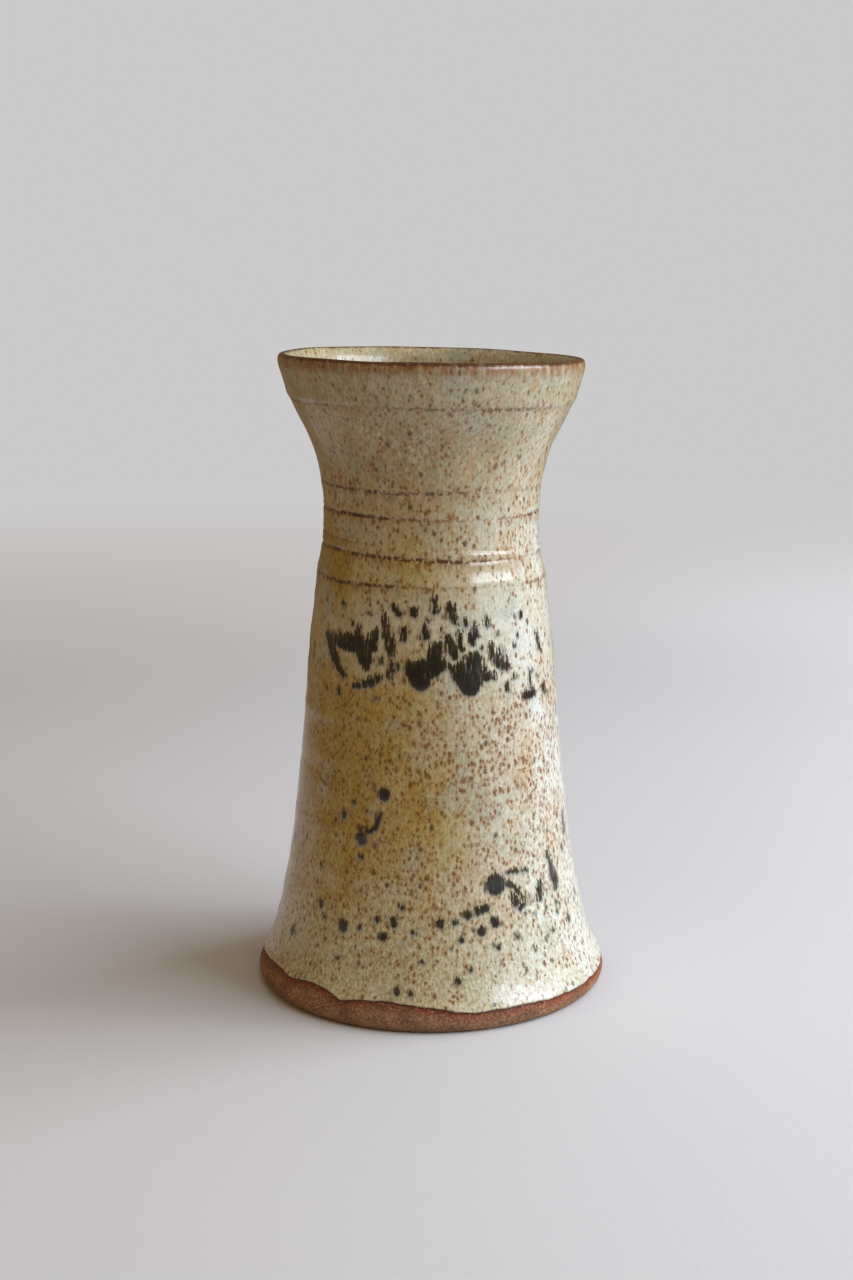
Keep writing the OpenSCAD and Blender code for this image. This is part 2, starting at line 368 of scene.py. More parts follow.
def inside_rows(step, lift):
    """Heights and radii down the inside and across the floor, moved towards the axis and up by lift."""
    wall_z = np.arange(lip_base, corner_h, -step)
    wall_r = inner_radius(wall_z)
    round_z = corner_h - floor_round * np.sin(bend)
    round_r = corner_r - floor_round * (1 - np.cos(bend))
    flat_r = np.arange(round_r[-1] - step, step / 2, -step)
    heights = np.concatenate([wall_z, round_z, np.full(len(flat_r), floor_h)])
    radii = np.concatenate([wall_r, round_r, flat_r])
    slope_z = np.gradient(heights)
    slope_r = np.gradient(radii)
    length = np.hypot(slope_z, slope_r)
    return heights - lift * slope_r / length, radii + lift * slope_z / length


print("inside radius at the floor and the lip:", round(corner_r, 1), round(inner_radius(lip_base), 1), "mm")

# %% [markdown]
# ## The lip and the rows of the wall
#
# The lip was closed with a strip of wet leather, which rounds it over: half an ellipse that carries on the
# flare of the collar outside and stands more upright inside. The wall below needs close rows only where a
# groove bends it, so the rows are laid one by one, each as far from the last as the nearest line allows.

# %% Profile of the lip, and heights of the rows
collar = clay_radius(np.array([lip_base - 3.0, lip_base]))
lip_lean = (collar[1] - collar[0]) / 3.0
inner_lean = 0.10


def lip_rows(half_t, rise, count=15):
    """Half an ellipse over the lip, leaning outwards with the wall below it."""
    around = np.linspace(0, math.pi, count)
    lip_r = clay_radius(np.array([lip_base]))[0] - lip_t / 2
    h = rise * np.sin(around)
    flare = inner_lean + (lip_lean - inner_lean) * (1 + np.cos(around)) / 2
    return lip_base + h, lip_r + half_t * np.cos(around) + flare * h


def fine_rows(low, high, step, near=2.0, fine=0.2):
    """Heights from low to high, a step apart, and finer close to each throwing line."""
    heights = [low]
    while heights[-1] < high - 0.5 * step:
        gap = min(abs(heights[-1] - line[0]) / line[2] for line in lines)
        heights.append(heights[-1] + (fine if gap < near * 1.8 else step))
    heights[-1] = high
    return np.array(heights)


print("slope of the collar under the lip:", round(lip_lean, 3))

# %% [markdown]
# ## The clay
#
# The wall is one closed skin: across the underside, out over the foot ring, up the outside, over the lip,
# down the inside and across the floor. Only the foot shows bare; the rest lies a hair under the glazes. The
# underside was trimmed with a loop tool on the turning wheel, which leaves rings a few mm apart. The turned
# foot has finer rings, and the ridges begin above it.

# %% Clay body
recess_h = 2.5
ring_inner_r = 44.0
lip_h = 5.0
hair = 0.12

under_r = np.linspace(1.0, ring_inner_r - 0.8, 56)
under_z = recess_h + 0.10 * np.sin(2 * math.pi * under_r / 2.6) + 0.5 * np.exp(-(under_r / 3) ** 2)
ring_r = np.array([ring_inner_r - 0.4, ring_inner_r, ring_inner_r + 0.3, ring_inner_r + 0.8, 47, 50, 53, 55.4])
ring_z = np.array([1.6, 0.8, 0.3, 0.0, 0.0, 0.0, 0.0, 0.0])
foot_edge_h = 4.1
base_z = outline_z[outline_z < foot_edge_h]
base_r = outline_r[outline_z < foot_edge_h] - 0.03
band_z = np.arange(4.5, 12.5, 0.5)
hidden_z = fine_rows(13.0, lip_base, 2.0, fine=0.5)
wall_z = np.concatenate([band_z, hidden_z])
over_z, over_r = lip_rows(lip_t / 2 - hair, lip_h - hair)
in_z, in_r = inside_rows(4.0, -hair)

rows_z = np.concatenate([under_z, ring_z, base_z, wall_z, over_z[1:-1], in_z])[:, None]
rows_r = np.concatenate([under_r, ring_r, base_r, clay_radius(wall_z), over_r[1:-1], in_r])[:, None]
# Parts of the skin by row: 0 underside, 1 edge of the foot, 2 wall, 3 lip and inside
part_rows = [len(under_r) + len(ring_r), len(base_z), len(wall_z), len(over_z) - 2 + len(in_z)]
part = np.repeat([0, 1, 2, 3], part_rows)[:, None]
turning = 0.05 * np.sin(2 * math.pi * rows_z / 1.7 + 0.6 * np.sin(theta)) - 0.05
bare = ease((rows_z - 3.5) / 2) * (1 - ease((rows_z - 11) / 3))
under_glaze = ease((rows_z - edge_height(theta) - 0.6) / 0.5)
radius = rows_r + np.where(
    part == 2,
    ridges(theta, rows_z) - grooves(theta, rows_z) + bare * turning - hair * under_glaze,
    np.where(part == 3, inner_ridges(theta, rows_z, rows_r) * (rows_z < lip_base - 4) * 0.8, 0.0)
)
clay_points = stand(theta, rows_z * np.ones_like(theta), radius)
clay_facts = {
    "edge": np.where(part == 0, 30.0, edge_height(theta) - rows_z) * np.ones_like(theta),
    "up": rows_z * np.ones_like(theta),
}
clay = turned("thrown_clay_body", clay_points, clay_facts, "clay_body", poles=True)

# %% [markdown]
# ## The thickness of the glaze
#
# The glaze is half a millimetre of glass. It follows the ridges, sinks into the grooves, swells into a bead
# at its edge and then rolls under. Its outside is therefore the clay's radius plus a thickness that depends
# on the distance above the wavy edge. The bead is fatter in some places than in others, as a drip is.

# %% Thickness and radius of the coat


def coat(s, theta):
    """Thickness of the glaze at a distance s above its edge: a quarter round, then a bead, then even."""
    rounding = np.sqrt(np.clip(1 - (1 - np.clip(s / 0.7, 0, 1)) ** 2, 0, 1))
    swell = 0.28 + 0.12 * np.sin(5 * theta + 1) + 0.08 * np.sin(11 * theta)
    return rounding * (glaze_t + swell * np.exp(-((s - 0.8) / 0.9) ** 2))


def glazed_radius(theta, height):
    """Radius of the glazed wall's outside, in mm, with ridges, lines and the bead at the edge."""
    wall = clay_radius(height) + ridges(theta, height) - grooves(theta, height)
    return wall + coat(height - edge_height(theta), theta)


bead_t = coat(np.array([0.8]), theta)
print("thickness of the bead:", round(bead_t.min(), 2), "to", round(bead_t.max(), 2), "mm")

# %% [markdown]
# ## What the glaze must know about the wall
#
# A material sees one point at a time and can't tell how far the next groove is. So each point of the glaze
# carries a few numbers: its height, its distance from the glaze edge and from the lip's crest, how much iron
# a line holds there, and how much hangs below the line in short runs. Both iron amounts fade in and out on
# their way round, because no groove is pressed evenly.

# %% Facts for the glaze materials


def line_facts(theta, height):
    """Iron gathered in the throwing lines, and in the fringe of runs under them, both from 0 to 1."""
    held = np.zeros(np.broadcast(theta, height).shape)
    hung = np.zeros(held.shape)
    for number, line in enumerate(lines):
        off = height - line_height(line, theta)
        fade = 0.75 - 0.25 * np.sin(theta + 0.5) + 0.2 * np.sin(3 * theta + 2.0 * number)
        iron = line[4] * fade
        # The fourth line holds hardly any iron towards the front
        if number == 3:
            iron = iron * (0.25 + 1.2 * (1 - np.cos(theta - 0.35)) / 2)
        held = np.maximum(held, iron * np.exp(-(off / 0.75) ** 2))
        hung = np.maximum(hung, iron ** 2 * ease((off + 4.2) / 3.8) * ease((0.4 - off) / 0.5))
    return np.clip(held, 0, 1), np.clip(hung, 0, 1)


def glaze_facts(theta, height, lip_off):
    """Everything that the glaze materials read from the points."""
    held, hung = line_facts(theta, height)
    return {
        "up": height * np.ones_like(theta),
        "edge": (height - edge_height(theta)) * np.ones_like(theta),
        "line": held,
        "fringe": hung,
        "lip": lip_off * np.ones_like(theta),
    }


lip_reach = 6.5
held_at, _ = line_facts(0.0, np.array([line[0] for line in lines]))
print("iron held in the lines at the front:", held_at.round(2))

# %% [markdown]
# ## The oatmeal coat
#
# Drawing the glaze as its own closed shell, with the clay a hair below, lets the bead throw a real shadow on
# the bare foot. The lowest rows follow the wavy edge, the rows above level out by 20 mm, and from there on
# they are close together only where a groove needs them. A few coarse rows close the shell behind.

# %% Outer glaze
bead_s = np.array([0.0, 0.03, 0.1, 0.2, 0.33, 0.48, 0.65, 0.85, 1.1, 1.4, 1.8, 2.3, 3.0, 3.8])
edge_z = 7.6
settled_z = 20.0
row_z = np.concatenate([bead_s, np.linspace(4.6, settled_z - edge_z, 10)]) + edge_z
row_z = np.concatenate([row_z, fine_rows(settled_z + 1, lip_base, 1.12)])[:, None]
bottom = edge_height(theta)
stretch = (settled_z - bottom) / (settled_z - edge_z)
above = row_z - edge_z
following = bottom + above * (1 + ease((above - 1.0) / 3.0) * (stretch - 1))
height = np.where(row_z < settled_z, np.minimum(following, settled_z + 0.9), row_z)
outside = glazed_radius(theta, height)

back_z = np.concatenate([np.arange(lip_base, settled_z, -6.0), [settled_z, 15.0]])[:, None]
back_r = clay_radius(back_z) + ridges(theta, back_z) - grooves(theta, back_z) - 0.02
glaze_height = np.concatenate([height, back_z * np.ones_like(theta)])
glaze_points = stand(theta, glaze_height, np.concatenate([outside, back_r]))
facts = glaze_facts(theta, glaze_height, lip_base + lip_reach - glaze_height)
outer = turned("oatmeal_glaze_coat", glaze_points, facts, "outer_glaze")

# %% [markdown]
# ## The lip
#
# Molten glaze drains off a sharp edge, so over the lip the coat is thin and the iron in the clay shows through
# as a broken brown line. The lip is a ring of its own here: half an ellipse carried round, a little uneven in
# height, because a lip cut and smoothed by hand is never quite level.

# %% Lip glaze
lip_top_z, lip_top_r = lip_rows(lip_t / 2 + glaze_t, lip_h + glaze_t, count=31)
lip_in_z, lip_in_r = lip_rows(lip_t / 2 - 0.05, lip_h - 0.05, count=9)
lip_z = np.concatenate([lip_top_z, lip_in_z[::-1]])[:, None]
lip_r = np.concatenate([lip_top_r, lip_in_r[::-1]])[:, None]
wobble = 0.16 * (np.sin(2 * theta + 0.8) + 0.5 * np.sin(5 * theta) + 0.3 * np.sin(9 * theta + 2) - 1.8)
lip_height = lip_z + wobble * (lip_z - lip_base) / (lip_h + glaze_t)
joint_z = np.full_like(theta, lip_base)
joint = ridges(theta, joint_z) - grooves(theta, joint_z)
lip_points = stand(theta, lip_height, lip_r + joint)
along = np.concatenate([[0], np.cumsum(np.hypot(np.diff(lip_top_z), np.diff(lip_top_r)))])
crest = along[len(along) // 2]
lip_off = np.concatenate([crest - along, np.full(len(lip_in_z), 9.0)])[:, None]
lip_piece = turned("lip_glaze", lip_points, glaze_facts(theta, lip_height, lip_off), "rim_glaze")

# %% [markdown]
# ## The liner
#
# A liner glaze is poured in, swirled and poured out, so it is even and pale. The spiral ridges of the opening
# fingers stay in the wall below it and wind across the floor to the middle. Seen from above they are the first
# sign that a pot was thrown and not cast, so they are in the mesh and not only in the material.

# %% Liner glaze
liner_t = 0.4
theta_in = angles(240)
hid_z, hid_r = inside_rows(5.0, -0.04)
see_z, see_r = inside_rows(1.4, liner_t)
top_fill = (glaze_t - liner_t) * ease((see_z - lip_base + 6) / 6)
inside_z = np.concatenate([hid_z[::-1], see_z])[:, None]
inside_r = np.concatenate([hid_r[::-1], see_r - top_fill])[:, None]
swell = inner_ridges(theta_in, inside_z, inside_r) * ease((lip_base - 1 - inside_z) / 8)
upright = ease((inside_z - floor_h - 1) / floor_round)
joint_z = np.full_like(theta_in, lip_base)
joint_in = (ridges(theta_in, joint_z) - grooves(theta_in, joint_z)) * ease((inside_z - lip_base + 25) / 25)
liner_points = stand(
    theta_in,
    inside_z + swell * (1 - upright) * ease(inside_r / 4),
    inside_r + swell * upright + joint_in
)
liner_off = -(crest + lip_base - inside_z)
liner_facts = {
    "up": inside_z * np.ones_like(theta_in),
    "lip": liner_off * np.ones_like(theta_in),
    "ridge": swell * np.ones_like(theta_in),
}
liner = turned("liner_glaze_coat", liner_points, liner_facts, "liner_glaze", poles=True)

# %% [markdown]
# ## Brushed iron oxide: the front
#
# The band was painted over the raw glaze with a loaded brush: each touch starts dry and ragged and ends in a
# rounded pool. A stroke can be drawn as a chain of round-ended segments with a half width at each point. That
# takes only a few numbers, each of which the painter could name: where, how wide, and how dry the brush was.

# %% Strokes on the front
# Each stroke: how dry it is, then its points as angle in degrees, height in mm and half width in mm
front_strokes = [
    (0.25, (-56.5, 122.0, 1.3), (-52.5, 117.6, 2.0), (-48.3, 113.4, 1.5), (-43.2, 110.4, 1.1)),
    (0.45, (-55, 121.7, 1.5), (-48, 121.0, 2.4), (-41, 120.8, 2.9), (-34, 120.5, 3.1), (-28.6, 121.0, 2.6)),
    (0.30, (-33, 119.5, 3.2), (-31, 116.6, 2.8), (-30.6, 113.9, 1.4)),
    (0.65, (-37, 122.4, 1.4), (-36, 125.8, 1.0)),
    (0.65, (-28, 122.0, 1.9), (-26.4, 124.8, 1.4)),
    (0.60, (-22.4, 129.6, 1.0), (-21.3, 126.5, 1.5), (-19.6, 122.5, 1.6), (-18.2, 118.4, 1.0)),
    (0.75, (-17.7, 116.6, 0.9), (-17.8, 114.2, 0.9), (-18.7, 111.6, 1.1)),
    (0.70, (-36.6, 107.3, 0.6), (-31, 108.6, 1.2), (-27.5, 109.6, 1.7), (-23.8, 111.3, 1.0)),
    (0.10, (-8.2, 114.3, 2.8), (-4.8, 110.7, 3.1)),
    (0.30, (-8.8, 114.6, 2.5), (-1, 114.3, 3.3), (3.2, 115.7, 2.5)),
    (0.40, (0.9, 115.4, 2.8), (1.6, 120.4, 2.4)),
    (0.60, (6.4, 115.4, 0.9), (8.4, 114.6, 0.7)),
    (0.60, (7.6, 124.4, 1.1), (8.8, 121.4, 1.9), (10.2, 118.4, 1.5)),
    (0.90, (12.5, 124.8, 0.8), (13.9, 120.4, 0.8)),
    (0.10, (13.2, 112.8, 3.1), (17.2, 108.8, 3.4)),
    (0.35, (12.3, 113.6, 2.7), (18.9, 114.2, 3.4), (19.3, 117.0, 2.5)),
    (0.40, (20.6, 113.2, 2.5), (20.6, 110.2, 2.3)),
    (0.75, (23.4, 110.8, 1.2), (28.2, 111.2, 1.1)),
    (0.70, (23.8, 115.2, 0.9), (24.0, 113.4, 0.9)),
    (0.70, (20.4, 127.4, 0.8), (19.2, 124.6, 1.5), (18.8, 122.2, 1.1)),
    (0.75, (28.0, 120.3, 0.9), (29.4, 117.7, 1.3), (31.4, 115.2, 1.4), (35.6, 113.9, 1.6)),
    (0.30, (32.0, 119.6, 0.28), (34.3, 115.0, 0.34)),
    (0.30, (33.4, 119.9, 0.26), (35.6, 115.2, 0.32)),
    (0.30, (34.8, 119.4, 0.22), (36.8, 115.6, 0.30)),
    (0.80, (58.6, 122.0, 0.8), (59.0, 119.0, 0.9), (61.5, 116.0, 0.7)),
    (0.85, (50.8, 110.8, 0.7), (50.2, 107.6, 0.5), (50.4, 105.2, 0.6)),
    (0.75, (46.4, 103.2, 1.4), (51.6, 103.4, 1.6)),
    (0.65, (60, 104.6, 0.9), (62.6, 102.3, 1.2)),
    (0.60, (77.6, 96.2, 0.6), (78.6, 92.4, 0.9)),
    (0.80, (-71, 116.4, 0.6), (-71.4, 113.0, 0.7)),
    (0.60, (9.0, 133.2, 1.2), (9.8, 130.6, 1.2), (11.6, 128.6, 0.7)),
    (0.50, (1.2, 135.8, 1.0), (1.6, 132.6, 1.2)),
    (0.55, (-13.2, 127.0, 0.8), (-13.0, 123.8, 1.1)),
    (0.40, (-3.4, 127.6, 0.9), (-3.0, 124.6, 1.3)),
    (0.75, (-17.4, 133.2, 0.8), (-15.6, 131.6, 1.1)),
    (0.70, (26.3, 129.8, 0.7), (26.8, 127.6, 0.9)),
]
front_dots = [
    (-8.2, 132.6, 1.1), (-46.5, 132.8, 0.8), (-30.5, 131.2, 0.6), (-39.5, 127.6, 0.7), (16.4, 128.8, 0.8),
    (-23.2, 116.8, 0.8), (-15.2, 115.2, 0.6), (35.3, 107.4, 0.9), (-46, 105.0, 0.8), (5.0, 126.6, 0.7),
    (43, 129.0, 0.5), (47, 129.4, 0.7), (44, 123, 0.5), (41, 120, 0.5), (39.5, 110.4, 0.6), (-1.6, 129.6, 0.5),
    (23.0, 120.4, 0.5), (14.6, 117.6, 0.6), (-24.6, 104.8, 0.5), (56, 108.6, 0.5), (31, 124.6, 0.5),
]


def drops(dots):
    """A short stroke for each dot, as a drop runs: a touch to the side, a little down, and thinner."""
    return [(0.35, (a, z, r), (a + 0.3, z - 1.2 * r, 0.8 * r)) for a, z, r in dots]


front_strokes += drops(front_dots)
print("strokes on the front:", len(front_strokes))

# %% [markdown]
# ## Brushed iron oxide: round the back
#
# A potter repeats a few movements of the wrist, so the band round the back is made from seven shapes, each
# drawn about its own place. They are set by angle and height, about as far apart as on the front, because
# the pot was turned under the brush.

# %% Strokes round the back
touches = {
    "petal": [(0.30, (3.4, 6.5, 1.2), (3.2, 3.0, 2.8), (-0.5, -2.0, 4.4), (-2.8, -8.4, 1.4))],
    "slant": [(0.80, (-2.6, 9, 0.8), (-0.4, 2, 1.3), (0.9, -3, 0.8), (-0.8, -8, 0.4))],
    "leaf": [(0.35, (4.6, 7.4, 1.4), (2.8, 3.4, 2.8), (-0.4, -1, 4.4), (0, -7, 1.4))],
    "twig": [(0.80, (-2.4, -3.6, 0.6), (0, 0, 0.9), (2.4, 4.4, 0.5))],
    "comb": [(0.75, (-3, 4.6, 1.2), (0, 0, 1.9), (3, -4.6, 1.3))],
    "dash": [(0.60, (0, 2.4, 0.5), (0.2, 0, 0.9), (0, -2.4, 0.4))],
    "arch": [
        (0.30, (-11, 4, 1.2), (-6.4, -1, 1.8), (-2.6, -6, 1.2), (0, -9, 0.5)),
        (0.50, (-11, 3.2, 1.5), (-1, 3, 2.1), (6, 5.5, 2.0), (11, 8.6, 1.0)),
        (0.30, (4, 4, 2.0), (8.4, 0, 2.3), (9.6, -4.5, 1.0)),
    ],
}
back_touches = [
    ("petal", 92, 118), ("twig", 104, 124), ("slant", 117, 121), ("leaf", 132, 115), ("comb", 151, 117),
    ("arch", 178, 119), ("twig", 201, 125), ("petal", 214, 116), ("slant", 231, 122), ("leaf", 247, 114),
    ("dash", 262, 119), ("comb", 276, 116),
]
back_strokes = [
    (dry, *[(angle + a, height_at + dz, r) for a, dz, r in spine])
    for kind, angle, height_at in back_touches
    for dry, *spine in touches[kind]
]
back_dots = [
    (121, 133, 1.0), (206, 133, 1.1), (239, 133, 1.0), (98, 131, 0.7), (143, 130, 0.8), (189, 132, 0.9),
]
back_strokes += drops(back_dots)
band_strokes = front_strokes + back_strokes
print("strokes in the band:", len(band_strokes))

# %% [markdown]
# ## How far it is to the nearest stroke
#
# What the material needs is the distance from each point of the pot to the nearest stroke, as if the wall were
# unrolled. For one segment that is the distance to its spine less its half width there. The loop goes over
# the segments, a hundred or so, and each takes the whole grid of points at once. The point also learns how
# dry that stroke is, and whether it lies below the spine, where the oxide has run.

# %% Distance to the strokes


def stroke_field(theta, points, strokes):
    """Distance in mm to the nearest stroke's edge, its dryness, and 1 where the point lies below its spine."""
    nearest = np.full(theta.shape, 9.0)
    dryness = np.zeros(theta.shape)
    below = np.zeros(theta.shape)
    for dry, *spine in strokes:
        for (a0, z0, w0), (a1, z1, w1) in zip(spine[:-1], spine[1:]):
            scale = clay_radius(np.array([(z0 + z1) / 2]))[0] + glaze_t
            middle = math.radians((a0 + a1) / 2)
            x = ((theta - middle + math.pi) % (2 * math.pi) - math.pi) * scale
            z = points[..., 2] - (z0 + z1) / 2
            half = np.array([math.radians(a1 - a0) * scale / 2, (z1 - z0) / 2])
            t = np.clip((x * half[0] + z * half[1]) / max(half @ half, 1e-6), -1, 1)
            gap_x = x - t * half[0]
            gap_z = z - t * half[1]
            reach = np.hypot(gap_x, gap_z)
            away = reach - (w0 + (w1 - w0) * (t + 1) / 2)
            closer = away < nearest
            nearest = np.where(closer, away, nearest)
            dryness = np.where(closer, dry, dryness)
            below = np.where(closer, 0.5 - 0.5 * gap_z / np.maximum(reach, 0.3), below)
    return nearest, dryness, below


front = np.zeros((1, 1))
probe, _, _ = stroke_field(front, stand(front, np.array([[120.0]]), np.array([[40.0]])), band_strokes)
print("from the middle of the front, 120 mm up, to the nearest stroke:", round(float(probe[0, 0]), 2), "mm")

# %% [markdown]
# ## The film of oxide
#
# The oxide is a skin on the glaze, less than a tenth of a millimetre high, and it goes wherever the glaze
# goes. So it is a finer grid over the glazed radius, kept only near a stroke, with a Solidify modifier inwards
# to close it. On a stroke it bulges a little, and towards its own rim it dives below the glaze, so that no
# border shows.

# %% Film over the band


def film(name, replaced, strokes, low, high, grain, margin, proud):
    """Thin patches of oxide on the glaze: a fine grid round the pot, kept where it is near a stroke."""
    columns = int(2 * math.pi * clay_radius(np.array([(low + high) / 2]))[0] / grain)
    theta = angles(columns)
    height = np.linspace(low, high, int((high - low) / grain))[:, None] * np.ones_like(theta)
    wide = theta * np.ones_like(height)
    surface = glazed_radius(theta, height)
    away, dry, below = stroke_field(wide, stand(theta, height, surface), strokes)
    body = ease(-away / 1.3 + 0.25)
    dive = 0.075 * ease((away - 0.7) / (margin - 0.7))
    points = stand(theta, height, surface + 0.025 - dive + proud * body).reshape(-1, 3)
    faces = quads(*height.shape)
    faces = faces[away.ravel()[faces].min(axis=1) < margin]
    used, faces = np.unique(faces, return_inverse=True)
    facts = glaze_facts(theta, height, lip_base + lip_reach - height)
    facts |= {"oxide": away, "dry": dry, "below": below}
    facts = {fact: values.ravel()[used] for fact, values in facts.items()}
    piece = add_piece(name, points[used], faces.reshape(-1, 4).tolist(), facts, replaced)
    wall = piece.modifiers.new("thickness", "SOLIDIFY")
    wall.thickness = 0.2 * MM
    wall.offset = -1
    return piece


band = film("oxide_brushwork", "oxide_band", band_strokes, 88, 141, 0.36, 2.4, 0.05)

# %% [markdown]
# ## Spattered iron oxide
#
# Below the band the brush was flicked at the pot. A drop that lands square leaves a round spot, one that lands
# at a slant leaves a long one, and a few trail a thread of small dots. A spot is a short stroke, so the film
# above serves again. Round the back the spots are placed freely, as densely as in front.

# %% Spots of the lower scatter
# Each spot: angle in degrees, height and half width in mm, and how many times taller than wide it is
front_spots = [
    (-20, 73.8, 2.0, 1.05), (-29, 58.9, 2.1, 1.05), (-29.8, 61.4, 0.7, 1.2), (-38.7, 65.3, 1.0, 1.1),
    (-33.7, 70, 0.8, 1.2), (-29, 52.9, 0.7, 1.0), (-49, 47, 0.6, 1.2), (-46.5, 35, 1.0, 1.4),
    (-43.5, 31.5, 0.8, 1.0), (-34.3, 30.2, 1.7, 1.25), (-61.5, 22.3, 1.3, 1.1), (-27, 30.6, 0.7, 1.0),
    (-20.5, 34, 0.8, 1.2), (-14, 33.8, 1.3, 1.4), (-11.3, 38.6, 0.8, 1.1), (-17.8, 28.8, 1.4, 0.95),
    (-6.5, 30.8, 0.8, 1.0), (3.2, 33.8, 1.3, 1.2), (8.7, 34, 1.0, 0.9), (10.7, 28.3, 0.8, 0.9),
    (13.3, 36, 1.5, 1.0), (18.5, 30.7, 1.6, 0.85), (24, 32.7, 1.6, 1.1), (67, 49, 0.8, 1.6),
    (73, 56, 1.1, 3.0), (75, 32, 0.8, 1.4),
    (62.5, 26.4, 0.9, 1.4), (57.5, 32, 0.5, 2.0), (55.5, 30.4, 0.6, 1.0), (9, 16, 1.1, 1.0),
    (-11.5, 12.7, 1.0, 1.2), (-7, 12.5, 0.7, 1.1), (13.7, 19, 0.7, 1.0), (-35, 20, 0.7, 1.0),
    (24.5, 24.8, 0.7, 1.0), (40, 21.5, 0.6, 1.0),
    (-3, 22, 0.6, 1.0), (51, 25.4, 0.6, 0.8), (33, 27, 0.6, 1.0),
]
back_spots = [
    (96, 40, 2.0, 1.2), (108, 31, 1.6, 1.0), (118, 52, 2.6, 0.9), (131, 36, 1.5, 1.4), (140, 68, 1.4, 1.2),
    (152, 29, 2.0, 1.0), (166, 44, 3.0, 0.9), (178, 34, 1.3, 1.0), (187, 61, 1.6, 1.3), (199, 31, 1.8, 1.0),
    (212, 47, 1.4, 2.4), (222, 38, 2.1, 0.9), (236, 27, 1.2, 1.0), (244, 58, 2.2, 1.0), (257, 41, 1.5, 1.6),
    (270, 33, 1.7, 1.0), (283, 50, 1.2, 1.8), (125, 24, 0.7, 1.0), (172, 20, 0.8, 1.0), (228, 66, 0.8, 1.0),
]
trails = [
    (0.25, (25.3, 44.7, 3.4), (25.6, 44.5, 3.3)),
    (0.35, (-21.8, 67.2, 0.9), (-22.0, 65.0, 0.9), (-22.8, 63.2, 0.6), (-26, 61.2, 0.5)),
    (0.30, (17.6, 37.0, 1.5), (20.8, 37.6, 1.3)),
    (0.45, (53.9, 49.4, 0.9), (55.6, 45.0, 1.3), (57.4, 40.5, 1.9), (57.0, 38.4, 1.2)),
    (0.70, (46.8, 41.2, 1.0), (46.0, 38.6, 1.2), (45.6, 36.8, 1.0)),
    (0.50, (31.4, 44.0, 1.2), (33.0, 43.2, 1.0)),
    (0.80, (34.4, 41.6, 1.0), (37.2, 39.4, 0.9), (37.8, 36.8, 1.0), (35.6, 35.8, 0.9)),
    (0.95, (33.0, 40.4, 1.1), (33.2, 37.0, 1.1)),
    (0.95, (35.4, 38.6, 0.9), (35.2, 37.6, 0.9)),
]
thread = [(31.2 + 2.2 * k, 47.9 - 0.2 * k) for k in range(5)]
trails += [(0.5, (a, z, 0.5), (a + 1.0, z, 0.4)) for a, z in thread]


def spot(angle_at, z, r, tall_by):
    """The short stroke of one spot: large ones are wetter, so their edge is smoother."""
    dry = 0.12 if r > 1.25 else 0.2
    longer = r * (tall_by - 1) + 0.1
    return (dry, (angle_at, z + longer, r), (angle_at + 0.2, z - longer, 0.9 * r))


spot_strokes = trails + [spot(*place) for place in front_spots + back_spots]
print("spots:", len(spot_strokes))
spatter = film("oxide_spatter", "oxide_splashes", spot_strokes, 10.6, 80, 0.38, 2.2, 0.06)

# %% [markdown]
# ## Writing shader graphs
#
# A shader graph is a long list of small steps, so one helper adds a node, sets it up and wires it in a single
# call, and a recipe then reads from top to bottom. Colours are written as the hex values that a paint chart
# gives and turned to linear light once, because a renderer adds light and not screen values.

# %% Colours, nodes and materials


def paint(code, alpha=1.0):
    """Linear RGBA of an sRGB hex colour."""
    parts = [int(code[i:i + 2], 16) / 255 for i in (1, 3, 5)]
    return tuple(c / 12.92 if c <= 0.04045 else ((c + 0.055) / 1.055) ** 2.4 for c in parts) + (alpha,)


def node(tree, kind, inputs=None, **settings):
    """Adds one shader node: settings are its properties, and an input is a value or a socket to link."""
    made = tree.nodes.new("ShaderNode" + kind)
    for name, value in settings.items():
        setattr(made, name, value)
    for socket, value in (inputs or {}).items():
        if isinstance(value, bpy.types.NodeSocket):
            tree.links.new(value, made.inputs[socket])
        else:
            made.inputs[socket].default_value = value
    return made


def new_material(name):
    """An empty node material and its tree, with the shader already wired to the output."""
    material = bpy.data.materials.new(name)
    material.use_nodes = True
    tree = material.node_tree
    tree.nodes.clear()
    shader = node(tree, "BsdfPrincipled")
    node(tree, "OutputMaterial", {"Surface": shader.outputs[0]})
    return material, tree, shader


def dress(piece, material):
    """Gives a piece its material, and prints its name and how many nodes it has."""
    piece.data.materials.append(material)
    print(piece.name, "wears", material.name, "with", len(material.node_tree.nodes), "nodes")


print("mid grey in linear light:", round(paint("#808080")[0], 3))

# %% [markdown]
# ## Patterns with real sizes
#
# Object coordinates belong to the pot, so a pattern that reads them stays put when the camera moves. Turned
# to millimetres, every size below is a real one. Noise whose height is squashed is drawn out down the wall,
# like a melt that has run. What a pattern should follow, such as a line or a stroke, the mesh carries itself.
# A finish is then built as a painter would: one colour laid over the last, as far as a few masks allow.

# %% Noise, masks and layers
pot_h = 211.0


def in_mm(tree, squash=1.0, shift=0.0):
    """Object coordinates in mm, with the height multiplied by squash so that patterns stretch along it."""
    where = node(tree, "TexCoord").outputs["Object"]
    scale = (1 / MM, 1 / MM, squash / MM)
    start = (shift, shift, shift)
    return node(tree, "Mapping", {"Vector": where, "Scale": scale, "Location": start}).outputs[0]


def noise(tree, size, squash=1.0, shift=0.0, detail=3.0, rough=0.5, low=0.35, high=0.65):
    """Noise with features of a size in mm, spread so that low becomes 0 and high becomes 1."""
    where = in_mm(tree, squash, shift)
    made = node(tree, "TexNoise", {"Vector": where, "Scale": 1 / size, "Detail": detail, "Roughness": rough})
    return node(tree, "MapRange", {0: made.outputs[0], 1: low, 2: high}).outputs[0]


